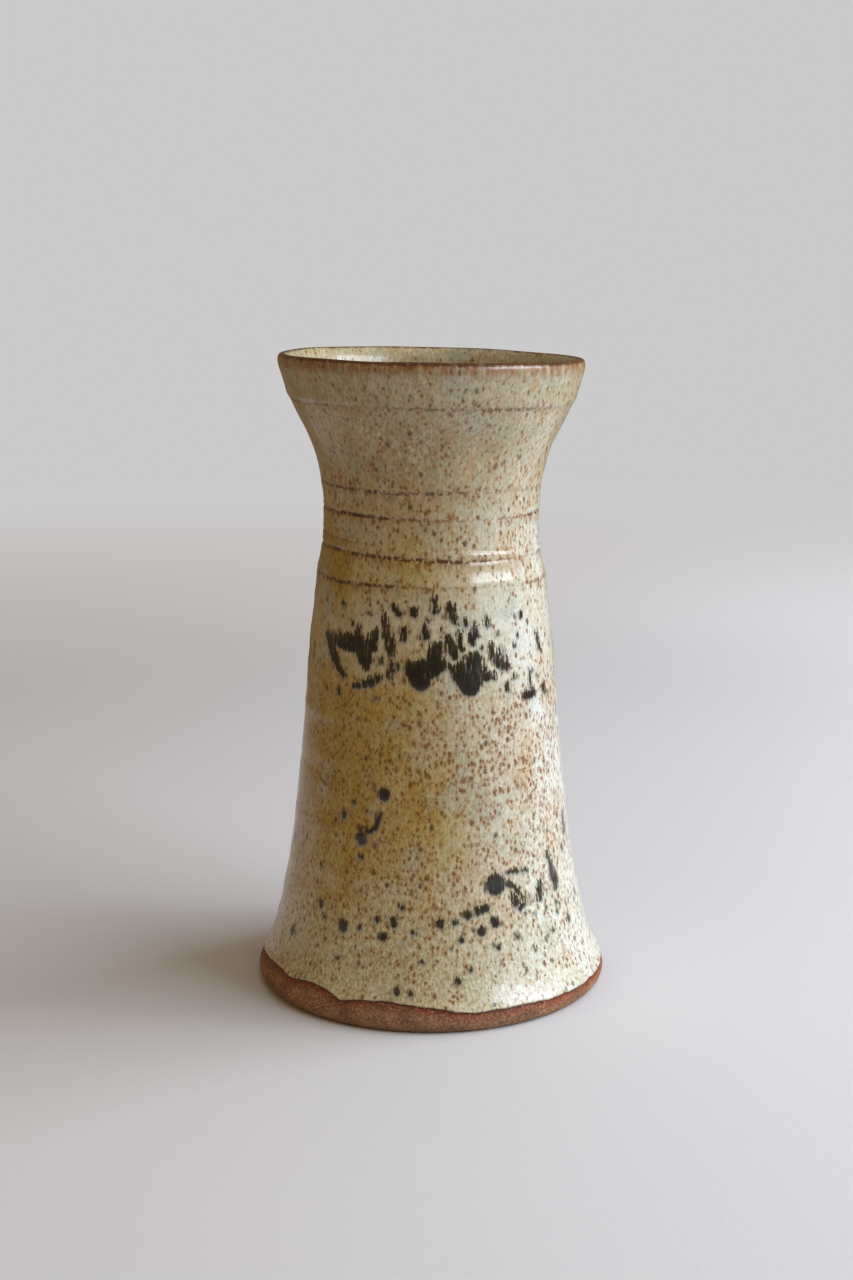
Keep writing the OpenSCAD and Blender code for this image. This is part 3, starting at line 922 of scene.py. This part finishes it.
def carried(tree, *names):
    """The values that the mesh carries under these names, one socket for each."""
    return [node(tree, "Attribute", attribute_name=name).outputs["Fac"] for name in names]


def overlap(tree, *masks):
    """Where all the masks meet: their product, held between 0 and 1 at each step."""
    share = masks[0]
    for mask in masks[1:]:
        share = node(tree, "Math", {0: share, 1: mask}, operation="MULTIPLY", use_clamp=True).outputs[0]
    return share


def laid(tree, colour, over, *masks, blend="MIX"):
    """One colour laid over another, as far as all the masks allow."""
    share = overlap(tree, *masks)
    return node(tree, "Mix", {0: share, 6: colour, 7: over}, data_type="RGBA", blend_type=blend).outputs[2]


def filled(tree, mask, amount):
    """A mask with its gaps partly filled: the amount is added all over, up to 1."""
    return node(tree, "Math", {0: mask, 1: amount}, operation="ADD", use_clamp=True).outputs[0]


def stacked(tree, *layers, base=0.0):
    """Relief in mm: a base, plus each pattern times the height that it stands out."""
    for pattern, stands in layers:
        base = node(tree, "Math", {0: pattern, 1: stands, 2: base}, operation="MULTIPLY_ADD").outputs[0]
    return base


def by_height(tree, up, steps):
    """An amount that changes up the wall, by steps of (share of the pot's height, amount)."""
    share = node(tree, "MapRange", {0: up, 1: 0.0, 2: pot_h}).outputs[0]
    made = node(tree, "ValToRGB", {0: share})
    ramp = made.color_ramp
    ramp.elements[0].position = steps[0][0]
    ramp.elements[1].position = steps[-1][0]
    for place, _ in steps[1:-1]:
        ramp.elements.new(place)
    for element, (_, amount) in zip(ramp.elements, steps):
        element.color = (amount, amount, amount, 1)
    return made.outputs[0]


print("patterns are scaled for a pot of", pot_h, "mm")

# %% [markdown]
# ## Specks
#
# Grains of iron in the clay melt through the glaze as they are spread in the clay: about evenly, never in
# rows, and of every size up to a largest one. A grid of cells with a jittered point in each gives that
# spread. Only a share of the cells gets a speck, and that share can change over the pot. Shaking the place
# by a noise first makes the specks ragged, and squashing the height draws them out down the wall.

# %% Speck pattern
speck_shake = 1.4


def specks(tree, cell, radius, chance, tall_by=1.6, soft=0.25, shift=0.0):
    """Spots in a jittered grid: a share of the cells gets one, up to radius mm, tall_by times as tall."""
    jitter = node(tree, "TexNoise", {"Vector": in_mm(tree, 1.0, shift), "Scale": 0.9, "Detail": 3.0})
    middle = (0.5, 0.5, 0.5)
    nudged = node(tree, "VectorMath", {0: jitter.outputs["Color"], 1: middle}, operation="SUBTRACT")
    nudged = node(tree, "VectorMath", {0: nudged.outputs[0], "Scale": speck_shake}, operation="SCALE")
    where = in_mm(tree, 1 / tall_by, shift)
    place = node(tree, "VectorMath", {0: where, 1: nudged.outputs[0]}, operation="ADD")
    cells = node(tree, "TexVoronoi", {"Vector": place.outputs[0], "Scale": 1 / cell})
    luck = node(tree, "SeparateColor", {0: cells.outputs["Color"]}).outputs[0]
    rarity = node(tree, "Math", {0: 1.0, 1: chance}, operation="SUBTRACT").outputs[0]
    chosen = node(tree, "Math", {0: luck, 1: rarity}, operation="GREATER_THAN").outputs[0]
    largest = radius / cell
    reach = node(tree, "MapRange", {0: luck, 1: rarity, 2: 1.0, 3: 0.45 * largest, 4: largest}).outputs[0]
    reach = node(tree, "Math", {0: reach, 1: chosen}, operation="MULTIPLY").outputs[0]
    inside = node(tree, "Math", {0: reach, 1: cells.outputs["Distance"]}, operation="SUBTRACT").outputs[0]
    return node(tree, "MapRange", {0: inside, 1: -0.3 * soft * largest, 2: soft * largest}).outputs[0]


print("specks are shaken by up to", speck_shake / 2, "mm")

# %% [markdown]
# ## The oatmeal glaze: its ground
#
# Real name: a feldspathic stoneware glaze with rutile and ash, fired in reduction over a body that holds iron
# grog. It is a cream that turns gold where it is thin or where the flame licked it, sage near the foot and
# blue-grey where it lies thick. The gold follows the height in a few steps, broken up by slow clouds, and
# grows towards the left of the pot, away from the window: that gold is partly flash from the flame and
# partly painted warm shade, which gives a warm shaded side and a cool lit side before any speck is drawn.

# %% Ground colour
OAT = paint("#d8dace")
GOLD = paint("#a8903a")
HONEY = paint("#ba9050")
COLLAR_OLIVE_SHADE = paint("#8b7c3e")
SAGE = paint("#b6b189")
CELADON = paint("#a7b2a6")
gold_steps = [
    (0.06, 0.40), (0.13, 0.45), (0.27, 0.75), (0.36, 0.95), (0.50, 0.80), (0.60, 0.50),
    (0.68, 0.80), (0.76, 0.55), (0.86, 0.70), (0.93, 0.25), (1.0, 0.35),
]


def ground(tree, up):
    """Cream with gold, honey, sage and blue-grey in it, before streaks and specks."""
    gold = by_height(tree, up, gold_steps)
    cloud = noise(tree, 22, squash=0.6, rough=0.55, low=0.3, high=0.7)
    cloudy = node(tree, "MapRange", {0: cloud, 3: 0.6, 4: 1.2}).outputs[0]
    # Stronger gold towards the left, away from the window: partly flash from the flame, partly painted warm
    # shade
    across = node(tree, "SeparateXYZ", {0: in_mm(tree)}).outputs[0]
    flame_and_shade_side = node(tree, "MapRange", {0: across, 1: 34.0, 2: -8.0}).outputs[0]
    licked_and_shaded = node(tree, "MapRange", {0: flame_and_shade_side, 3: 0.05, 4: 1.3}).outputs[0]
    colour = laid(tree, OAT, GOLD, gold, cloudy, licked_and_shaded)
    # The collar is a darker olive gold than the rest: partly the glaze's own colour, partly painted shade,
    # because the flaring collar faces a little downwards, away from the light above
    high = node(tree, "MapRange", {0: up, 1: 150.0, 2: 185.0}).outputs[0]
    colour = laid(tree, colour, COLLAR_OLIVE_SHADE, high, 0.60)
    warm = noise(tree, 12, squash=0.6, shift=40, rough=0.6, low=0.45)
    colour = laid(tree, colour, HONEY, warm, gold, 0.45)
    low_down = node(tree, "MapRange", {0: up, 1: 42.0, 2: 24.0}).outputs[0]
    colour = laid(tree, colour, SAGE, low_down, overlap(tree, flame_and_shade_side, 0.6))
    thick = noise(tree, 13, squash=0.8, shift=90, low=0.56, high=0.72)
    return laid(tree, colour, CELADON, thick, 0.65)


print("steps of gold up the wall:", len(gold_steps))

# %% [markdown]
# ## The oatmeal glaze: what ran down
#
# A glaze with ash in it runs a little in the kiln. Rutile separates out as it does, so pale threads under a
# millimetre wide hang down the wall, with a finer mottle between them. The first noise is drawn out ten
# times along the height, the second only twice. A soft light blend lets the mottle lift and sink the ground
# without changing its hue.

# %% Streaks and mottle
STREAK_DARK = paint("#85703f")
STREAK_PALE = paint("#efe9d6")
MOTTLE_DARK = paint("#897a50")
MOTTLE_PALE = paint("#e6e2d6")


def ran_down(tree, up, colour):
    """The ground with its streaks and mottle, and the streaks alone for the relief and the gloss."""
    streaks = noise(tree, 0.9, squash=0.10, shift=7, rough=0.6, low=0.36, high=0.64)
    patchy = noise(tree, 7, squash=0.35, shift=51, detail=2, high=0.7)
    drawn = node(tree, "MapRange", {0: up, 1: 150.0, 2: 185.0, 3: 0.22, 4: 0.42}).outputs[0]
    colour = laid(tree, colour, laid(tree, STREAK_DARK, STREAK_PALE, streaks), patchy, drawn)
    mottle = noise(tree, 0.9, squash=0.55, shift=21, detail=4, rough=0.7, low=0.38, high=0.62)
    contrast = node(tree, "MapRange", {0: up, 1: 70.0, 2: 25.0, 3: 0.6, 4: 1.0}).outputs[0]
    mottled = laid(tree, MOTTLE_DARK, MOTTLE_PALE, mottle)
    return laid(tree, colour, mottled, contrast, blend="SOFT_LIGHT"), streaks


print("streaks: 0.9 mm wide and about 9 mm long")

# %% [markdown]
# ## The oatmeal glaze: iron from the clay
#
# Each grain of iron gives a rust-brown speck with an amber halo. They crowd on the belly, thin out behind the
# brushed band and come back on the neck. Three sizes are mixed, because one size looks printed: freckles of
# about a millimetre, larger drops, and a dust that is drawn coarser than the real one so that it shows. A few
# blots are nearly black, and greener near the foot.

# %% Iron specks
RUST = paint("#6b3d0f")
EMBER = paint("#b57c24")
BROWN_BLACK = paint("#34261a")
GREEN_BLACK = paint("#3d4030")
freckle_cell = 1.25
freckle_r = 0.66
speck_steps = [
    (0.05, 0.45), (0.12, 0.55), (0.20, 0.75), (0.30, 0.90), (0.48, 0.90), (0.53, 0.32),
    (0.62, 0.22), (0.70, 0.48), (0.80, 0.60), (0.92, 0.42), (1.0, 0.16),
]


def iron_specks(tree, up, colour):
    """The glaze with its specks, and the freckles and blots alone, because they pit the surface."""
    crowd = noise(tree, 9, squash=0.7, shift=60, detail=2, low=0.30, high=0.68)
    crowded = node(tree, "MapRange", {0: crowd, 3: 0.45, 4: 1.35}).outputs[0]
    chance = overlap(tree, by_height(tree, up, speck_steps), crowded)
    freckle = specks(tree, freckle_cell, freckle_r, chance, tall_by=1.5, soft=0.5, shift=3)
    halo = specks(tree, freckle_cell, 1.0, chance, tall_by=1.5, soft=0.9, shift=3)
    colour = laid(tree, colour, EMBER, halo, 0.75)
    colour = laid(tree, colour, RUST, freckle, 0.85)
    drop = specks(tree, 2.4, 1.0, overlap(tree, chance, 0.5), tall_by=1.5, soft=0.5, shift=11)
    colour = laid(tree, colour, RUST, drop, 0.85)
    dust = specks(tree, 0.9, 0.42, chance, tall_by=1.8, soft=0.8, shift=17)
    colour = laid(tree, colour, RUST, dust, 0.6)
    blot_chance = node(tree, "MapRange", {0: up, 1: 110.0, 2: 35.0, 3: 0.20, 4: 0.45}).outputs[0]
    blot = specks(tree, 3.4, 1.0, blot_chance, tall_by=1.35, soft=0.5, shift=27)
    low_down = node(tree, "MapRange", {0: up, 1: 42.0, 2: 24.0}).outputs[0]
    colour = laid(tree, colour, laid(tree, BROWN_BLACK, GREEN_BLACK, low_down), blot, 0.85)
    # Amber runs on the neck, where large grains have bled down through the coat
    run = specks(tree, 5, 2.0, 0.45, tall_by=4.5, soft=1.4, shift=63)
    thready = noise(tree, 0.8, squash=0.3, shift=45, detail=2, rough=0.6, low=0.42, high=0.60)
    high = node(tree, "MapRange", {0: up, 1: 150.0, 2: 165.0}).outputs[0]
    return laid(tree, colour, EMBER, run, thready, high), freckle, blot


print("freckles: up to", 2 * freckle_r, "mm wide, one place every", freckle_cell, "mm")

# %% [markdown]
# ## The oatmeal glaze: where it breaks
#
# Over an edge the melt thins and the brown clay shows through, and in a groove the iron gathers in a dotted
# dark line with short drips under it. The mesh carries how near each point is to a line, to the glaze edge
# and to the lip's crest, so the colour follows the real shape. A noise of 1 to 3 mm breaks each of them up.

# %% Lines, glaze edge and lip
GROOVE_BROWN = paint("#4c2e14")
BREAK_BROWN = paint("#4a2a14")
LIP_RUST = paint("#8a4a14")


def broken_edges(tree, colour):
    """The glaze with iron in its throwing lines, and brown where it thins at its edge and over the lip."""
    held, hung, edge, lip = carried(tree, "line", "fringe", "edge", "lip")
    ragged = noise(tree, 1.5, shift=33, rough=0.65, low=0.44, high=0.56)
    drips = noise(tree, 1, squash=0.22, shift=47, detail=2, rough=0.6, low=0.46, high=0.60)
    glow = overlap(tree, filled(tree, held, hung), filled(tree, ragged, 0.4))
    colour = laid(tree, colour, EMBER, glow, 0.5)
    dotted = overlap(tree, held, filled(tree, ragged, 0.15))
    dotted = node(tree, "MapRange", {0: dotted, 1: 0.12, 2: 0.62}).outputs[0]
    gathered = filled(tree, dotted, overlap(tree, overlap(tree, drips, hung), 0.85))
    colour = laid(tree, colour, GROOVE_BROWN, gathered)

    thin_edge = node(tree, "MapRange", {0: edge, 1: 0.7, 2: 0.05}).outputs[0]
    colour = laid(tree, colour, BREAK_BROWN, thin_edge, filled(tree, ragged, 0.25))

    wander = noise(tree, 2.4, shift=71, rough=0.6, low=0.2, high=0.8)
    crest = node(tree, "Math", {0: wander, 1: -1.6, 2: lip}, operation="MULTIPLY_ADD").outputs[0]
    outer_side = node(tree, "MapRange", {0: crest, 1: 1.15, 2: 0.55}).outputs[0]
    inner_side = node(tree, "MapRange", {0: crest, 1: -2.2, 2: -1.2}).outputs[0]
    skirt = node(tree, "MapRange", {0: crest, 1: 6.0, 2: 0.6}).outputs[0]
    runny = noise(tree, 1.4, squash=0.3, shift=87, rough=0.65, low=0.30, high=0.56)
    colour = laid(tree, colour, LIP_RUST, skirt, runny, inner_side, 0.95)
    thin = noise(tree, 1.6, shift=83, rough=0.6, low=0.30, high=0.56)
    return laid(tree, colour, BREAK_BROWN, outer_side, inner_side, filled(tree, thin, 0.35), 0.9)


print("iron gathers within 0.75 mm of a throwing line")

# %% [markdown]
# ## The oatmeal glaze: gloss and relief
#
# A fired glaze is glass, so its IOR is that of most glazes, 1.52. It shines twice: a sharp highlight from its
# very surface, and a hazier one from the crystals just below. A coat of half weight gives the first, and a
# roughness of 0.34 to 0.44 the second, rougher where a streak is. The relief is a slow orange peel with
# specks sunk into it, only hundredths of a millimetre deep, enough to break up the highlight.

# %% Oatmeal glaze on the wall and over the lip
GLAZE_IOR = 1.52
coat_weight = 0.5
coat_rough = 0.09


def finish(tree, shader, colour, relief, rough, ior):
    """Wires a surface's colour, relief in mm and roughness to its shader."""
    tree.links.new(colour, shader.inputs["Base Color"])
    tree.links.new(rough, shader.inputs["Roughness"])
    shader.inputs["IOR"].default_value = ior
    bump = node(tree, "Bump", {"Height": relief, "Strength": 1.0, "Distance": MM})
    tree.links.new(bump.outputs[0], shader.inputs["Normal"])


def fired_skin(shader):
    """The sharp highlight of a melted surface, over the hazier one of the glaze below."""
    shader.inputs["Coat Weight"].default_value = coat_weight
    shader.inputs["Coat Roughness"].default_value = coat_rough


def oatmeal(tree):
    """Colour, relief and streaks of the oatmeal glaze, which the wall, the lip and the oxide share."""
    up, = carried(tree, "up")
    colour, streaks = ran_down(tree, up, ground(tree, up))
    colour, freckle, blot = iron_specks(tree, up, colour)
    peel = noise(tree, 3.2, squash=0.5, shift=15, low=0.2, high=0.8)
    relief = stacked(tree, (peel, 0.012), (streaks, 0.003), (freckle, -0.015), (blot, -0.020))
    return broken_edges(tree, colour), relief, streaks


for piece, name, slot in (
    (outer, "oatmeal_stoneware_glaze", "oatmeal_glaze"),
    (lip_piece, "iron_break_lip_glaze", "iron_break_glaze"),
):
    material, tree, shader = new_material(name)
    colour, relief, streaks = oatmeal(tree)
    rough = node(tree, "MapRange", {0: streaks, 3: 0.34, 4: 0.44}).outputs[0]
    finish(tree, shader, colour, relief, rough, GLAZE_IOR)
    fired_skin(shader)
    dress(piece, material)

# %% [markdown]
# ## The oxide on its film
#
# Real name: red iron and manganese oxide in water, brushed over the glaze and fired into it. Where it lies
# thick it is an olive black that stays glossy, where the brush ran dry it breaks into streaks and turns brown,
# and where it has run it bleeds a pale blue-grey edge. The film carries the distance to the stroke, and two
# noises shake that distance: one ragged, and one drawn out into bristle lines. A dry stroke is shaken more
# than a wet one, and its top more than its foot. The film's rim carries the plain glaze, so the film itself
# has no visible border.

# %% Iron oxide
OXIDE = paint("#15130c")
OXIDE_BLUE = paint("#12161b")
OXIDE_BROWN = paint("#3b2a16")
OXIDE_OLIVE = paint("#3f3820")
HALO_BLUE = paint("#98a3a2")


def shaken_stroke(tree, away, dry, below):
    """Distance to the stroke's edge with its outline frayed, and the bristle lines that fray it."""
    ragged = noise(tree, 1.3, squash=0.6, shift=5, detail=5, rough=0.75, low=0.25, high=0.75)
    bristle = noise(tree, 0.65, squash=0.12, shift=9, rough=0.6, low=0.30, high=0.70)
    fray = node(tree, "Math", {0: ragged, 1: bristle}, operation="ADD").outputs[0]
    fray = node(tree, "Math", {0: fray, 1: 1.0}, operation="SUBTRACT").outputs[0]
    reach = node(tree, "MapRange", {0: dry, 1: 0.0, 2: 1.0, 3: 0.8, 4: 3.0}).outputs[0]
    upper = node(tree, "MapRange", {0: below, 1: 0.0, 2: 1.0, 3: 1.35, 4: 0.55}).outputs[0]
    reach = node(tree, "Math", {0: reach, 1: upper}, operation="MULTIPLY").outputs[0]
    return node(tree, "Math", {0: fray, 1: reach, 2: away}, operation="MULTIPLY_ADD").outputs[0], bristle


def inked(tree, colour):
    """The glaze with oxide over it, and the oxide's own mask for the gloss and the relief."""
    away, dry, below = carried(tree, "oxide", "dry", "below")
    stroke, bristle = shaken_stroke(tree, away, dry, below)
    halo = node(tree, "MapRange", {0: stroke, 1: 1.1, 2: 0.1}).outputs[0]
    bled = node(tree, "MapRange", {0: below, 1: 0.35, 2: 0.85}).outputs[0]
    colour = laid(tree, colour, HALO_BLUE, halo, bled, 0.45)
    colour = laid(tree, colour, OXIDE_BROWN, halo, 0.35)
    deep = node(tree, "MapRange", {0: stroke, 1: -0.1, 2: -1.6}).outputs[0]
    cloudy = noise(tree, 1.6, squash=0.6, shift=77, detail=4, rough=0.7, low=0.40, high=0.66)
    ink = laid(tree, laid(tree, OXIDE_BROWN, OXIDE, deep), OXIDE_OLIVE, cloudy, 0.55)
    ink = laid(tree, ink, OXIDE_BLUE, bled, 0.45)
    core = node(tree, "MapRange", {0: stroke, 1: 0.32, 2: -0.25}).outputs[0]
    worn = node(tree, "MapRange", {0: bristle, 1: 0.62, 2: 0.95}).outputs[0]
    worn = overlap(tree, worn, dry)
    core = node(tree, "Math", {0: core, 1: worn}, operation="SUBTRACT", use_clamp=True).outputs[0]
    return laid(tree, colour, ink, core), core


oxide, tree, shader = new_material("brushed_iron_oxide")
glaze, relief, streaks = oatmeal(tree)
colour, core = inked(tree, glaze)
rough = node(tree, "MapRange", {0: core, 3: 0.39, 4: 0.30}).outputs[0]
finish(tree, shader, colour, stacked(tree, (core, 0.02), base=relief), rough, GLAZE_IOR)
fired_skin(shader)
# A specular level a little under the default keeps the black deep
shader.inputs["Specular IOR Level"].default_value = 0.4
for piece in (band, spatter):
    dress(piece, oxide)

# %% [markdown]
# ## The liner glaze
#
# Real name: a pale feldspathic liner, poured. It is even and glossy, a little darker and olive in the valleys
# between the finger ridges where it lies thick, with a few iron specks, and it breaks to a thin dark line
# just under the lip, where the two glazes overlap. The mesh carries the height of its ridges, and from it the
# valleys also get painted shade over their pooled colour, so the throwing spiral is seen even where no light
# grazes it.

# %% Liner glaze material
LINER_DARK = paint("#aaa07c")
LINER_PALE = paint("#c9c2a6")
LINER_POOL_AND_SHADE = paint("#8f8763")
LINER_MOTTLE_DARK = paint("#8f835c")
LINER_MOTTLE_PALE = paint("#e0d9c0")

material, tree, shader = new_material("poured_liner_glaze")
ridge, lip_off = carried(tree, "ridge", "lip")
# Darker olive in the valleys: partly glaze pooled there, partly painted shade so that the spiral shows
valley_pool_and_shade = node(tree, "MapRange", {0: ridge, 1: -0.3, 2: 0.3}).outputs[0]
pour = noise(tree, 14, squash=0.5, shift=5, low=0.3, high=0.7)
colour = laid(tree, laid(tree, LINER_DARK, LINER_PALE, pour), LINER_POOL_AND_SHADE, valley_pool_and_shade, 0.4)
mottle = noise(tree, 0.5, squash=0.6, shift=12, detail=2, rough=0.6, low=0.36, high=0.64)
mottled = laid(tree, LINER_MOTTLE_DARK, LINER_MOTTLE_PALE, mottle)
colour = laid(tree, colour, mottled, 0.4, blend="SOFT_LIGHT")
flecks = specks(tree, 2.6, 0.55, 0.25, tall_by=1.3, soft=0.4, shift=8)
colour = laid(tree, colour, RUST, flecks, 0.75)
wander = noise(tree, 3, shift=19, detail=2, low=0.2, high=0.8)
under_lip = node(tree, "Math", {0: wander, 1: 0.8, 2: lip_off}, operation="MULTIPLY_ADD").outputs[0]
seam = node(tree, "MapRange", {0: under_lip, 1: -8.2, 2: -7.2}).outputs[0]
colour = laid(tree, colour, BREAK_BROWN, seam, 0.75)
rough = node(tree, "MapRange", {0: pour, 3: 0.12, 4: 0.20}).outputs[0]
finish(tree, shader, colour, stacked(tree, (pour, 0.03), (mottle, 0.006)), rough, GLAZE_IOR)
fired_skin(shader)
dress(liner, material)

# %% [markdown]
# ## Bare stoneware
#
# Real name: a grogged stoneware body, fired in reduction. Bare clay is matt and sandy, with grains of grog up
# to half a millimetre, and it flashes red-brown where vapour from the glaze has licked it, most of all in a
# line right under the glaze edge. The contact edge at the very bottom is dusted paler. Turning on the wheel
# leaves fine rings, here a noise squeezed along the height. It has no coat: nothing melted on it.

# %% Bare stoneware material
CLAY_DARK = paint("#735239")
CLAY_PALE = paint("#b18a66")
FLASH_RED = paint("#8c482c")
FLASH_DEEP = paint("#5a2a18")
FOOT_DUST = paint("#8b7562")
UNDERSIDE = paint("#a97d5c")
GRIT_DARK = paint("#4a3a2c")
GRIT_PALE = paint("#d8c8b4")
SAND = paint("#c2a585")
GROG = paint("#3c2418")
CLAY_IOR = 1.5

material, tree, shader = new_material("bare_stoneware_clay")
edge, up = carried(tree, "edge", "up")
toast = noise(tree, 9, squash=1.6, shift=2, rough=0.6, low=0.3, high=0.7)
colour = laid(tree, CLAY_DARK, CLAY_PALE, toast)
flash = node(tree, "MapRange", {0: edge, 1: 3.0, 2: 0.6}).outputs[0]
colour = laid(tree, colour, FLASH_RED, flash, filled(tree, toast, 0.3))
tight = node(tree, "MapRange", {0: edge, 1: 0.75, 2: 0.1}).outputs[0]
colour = laid(tree, colour, FLASH_DEEP, tight, 0.75)
foot_edge = node(tree, "MapRange", {0: up, 1: 3.6, 2: 1.0}).outputs[0]
colour = laid(tree, colour, FOOT_DUST, foot_edge, 0.35)
under = node(tree, "MapRange", {0: edge, 1: 15.0, 2: 25.0}).outputs[0]
colour = laid(tree, colour, UNDERSIDE, under, 0.6)
grit = noise(tree, 0.8, squash=1.5, shift=6, detail=4, rough=0.75, low=0.42, high=0.58)
colour = laid(tree, colour, laid(tree, GRIT_DARK, GRIT_PALE, grit), 0.85, blend="SOFT_LIGHT")
sand = specks(tree, 1.2, 0.45, 0.45, tall_by=1.0, soft=0.5, shift=14)
colour = laid(tree, colour, SAND, sand, 0.5)
iron_grog = specks(tree, 2.2, 0.45, 0.25, tall_by=1.0, soft=0.5, shift=31)
colour = laid(tree, colour, GROG, iron_grog, 0.6)
turn_marks = noise(tree, 0.35, squash=4, shift=3, detail=2, low=0.3, high=0.7)
relief = stacked(tree, (grit, 0.05), (sand, 0.05), (turn_marks, 0.03))
rough = node(tree, "MapRange", {0: toast, 3: 0.62, 4: 0.78}).outputs[0]
finish(tree, shader, colour, relief, rough, CLAY_IOR)
dress(clay, material)

# %% [markdown]
# ## The floor
#
# The stage is pale paper that curves up far behind the pot on every side, so that the pot can be looked at
# from anywhere. Only the floor near the pot bounces light and shows in the glaze. The rest is hidden from
# bounced light and from reflections and glows by itself, which keeps the shaded side of the pot as deep as a
# single window leaves it. The fade from lit paper to glowing paper is slow, so no edge is seen.

# %% Stage
near_r = 0.5
floor_r = 1.5
cove_r = 0.7
wall_top = 3.0
cove = np.linspace(0, math.pi / 2, 13)
wall_profile = np.concatenate([
    [[near_r, 0.0], [1.0, 0.0]],
    np.stack([floor_r + cove_r * np.sin(cove), cove_r * (1 - np.cos(cove))], axis=-1),
    [[floor_r + cove_r, wall_top]],
])
round_stage = angles(96)


def stage_piece(name, radii, heights):
    """A turned part of the stage, in metres, facing the axis."""
    points = np.stack(np.broadcast_arrays(
        radii[:, None] * np.sin(round_stage), -radii[:, None] * np.cos(round_stage), heights[:, None]
    ), axis=-1)
    mesh = bpy.data.meshes.new(name)
    faces = quads(len(radii), round_stage.size)[:, ::-1]
    mesh.from_pydata(points.reshape(-1, 3).tolist(), [], faces.tolist())
    mesh.shade_smooth()
    piece = bpy.data.objects.new(name, mesh)
    ROOT.objects.link(piece)
    return piece


floor = stage_piece("studio_floor", np.array([0.001, 0.2, near_r]), np.zeros(3))
wall = stage_piece("studio_wall", wall_profile[:, 0], wall_profile[:, 1])
wall.visible_diffuse = False
wall.visible_glossy = False
print("the stage ends", floor_r + cove_r, "m from the pot")

# %% [markdown]
# ## The paper
#
# Real name: matt background paper, with a fibre of about a millimetre that hardly shows. Matt paper has no
# highlight worth drawing, so its specular level is nought. Further out its own colour fades to black while
# its glow comes up, both by the distance from the pot.

# %% Paper
PAPER_DARK = paint("#d4d2cd")
PAPER_PALE = paint("#d8d6d1")
BLACK = paint("#000000")
PAPER_GLOW = paint("#cbcacb")

material, tree, shader = new_material("pale_studio_paper")
fibre = noise(tree, 1.2, detail=2, low=0.3, high=0.7)
away = node(tree, "VectorMath", {0: in_mm(tree)}, operation="LENGTH").outputs["Value"]
smooth = {"interpolation_type": "SMOOTHSTEP"}
far = node(tree, "MapRange", {0: away, 1: 600.0, 2: 1450.0}, **smooth).outputs[0]
glow = node(tree, "MapRange", {0: away, 1: 400.0, 2: 1400.0}, **smooth).outputs[0]
paper = laid(tree, laid(tree, PAPER_DARK, PAPER_PALE, fibre), BLACK, far)
tree.links.new(paper, shader.inputs["Base Color"])
tree.links.new(glow, shader.inputs["Emission Strength"])
shader.inputs["Emission Color"].default_value = PAPER_GLOW
shader.inputs["Roughness"].default_value = 0.9
shader.inputs["Specular IOR Level"].default_value = 0.0
for piece in (floor, wall):
    piece.data.materials.append(material)
print("stage paper:", len(tree.nodes), "nodes")

# %% [markdown]
# ## The light
#
# One cool window to the right of the camera makes the shape and the highlight on the shoulder. A taller light
# further round and a soft ceiling carry its light onto the right side and the shoulder. They are hidden from
# reflections, because the glaze should show a single highlight. A dim warm light on the left and a dim warm
# world stand for the room, and a warm fill against a cool window is what makes the shaded side glow.

# %% Lights
aim_h = 0.1


def soft_light(name, azimuth, elevation, distance, size, power, colour, mirrored=True):
    """A soft rectangle facing the pot: azimuth from the camera's side to the right, size in metres."""
    light = bpy.data.lights.new(name, "AREA")
    light.shape = "RECTANGLE"
    light.size, light.size_y = size
    light.energy = power
    light.color = paint(colour)[:3]
    lamp = bpy.data.objects.new(name, light)
    a = math.radians(azimuth)
    e = math.radians(elevation)
    lamp.location = (
        distance * math.cos(e) * math.sin(a),
        -distance * math.cos(e) * math.cos(a),
        aim_h + distance * math.sin(e),
    )
    lamp.rotation_euler = (math.pi / 2 - e, 0, a)
    lamp.visible_glossy = mirrored
    ROOT.objects.link(lamp)
    print(name, "at", [round(v, 2) for v in lamp.location])


soft_light("window_light", 67, 24, 1.2, (0.98, 0.38), 11.0, "#e2ecff")
soft_light("side_light", 102, 22, 1.2, (0.9, 0.6), 14.0, "#dde9ff", mirrored=False)
soft_light("ceiling_light", 80, 72, 1.4, (1.4, 1.4), 7.5, "#f2f5ff", mirrored=False)
soft_light("room_fill", -60, 25, 1.3, (1.2, 1.0), 1.5, "#ffd49a")

world = bpy.data.worlds.new("room")
bpy.context.scene.world = world
world.use_nodes = True
background = world.node_tree.nodes["Background"]
background.inputs["Color"].default_value = paint("#ffdcab")
background.inputs["Strength"].default_value = 0.17

# %% [markdown]
# ## The camera
#
# The camera stands a little above the rim, about three pot heights away, and looks slightly down, as somebody
# does who sits at the table. From there the mouth is a narrow ellipse and the foot a wider one. The view
# transform is the plain one, so that the hex colours above come out as they were chosen.

# %% Camera
camera_data = bpy.data.cameras.new("camera")
camera_data.sensor_width = 36
camera_data.lens = 53.2
camera = bpy.data.objects.new("camera", camera_data)
camera.location = (-0.00157, -0.6186, 0.2422)
camera.rotation_euler = (math.radians(78.413), 0, 0)
ROOT.objects.link(camera)
bpy.context.scene.camera = camera
bpy.context.scene.view_settings.view_transform = "Standard"
print("camera", round(camera.location.z / MM - tall, 1), "mm above the rim")

# %% [markdown]
# ## A last update
#
# The imported model is the pot's true size, so the drawn one has to stay inside its box. Last, the view layer
# is brought up to date.

bpy.context.view_layer.update()
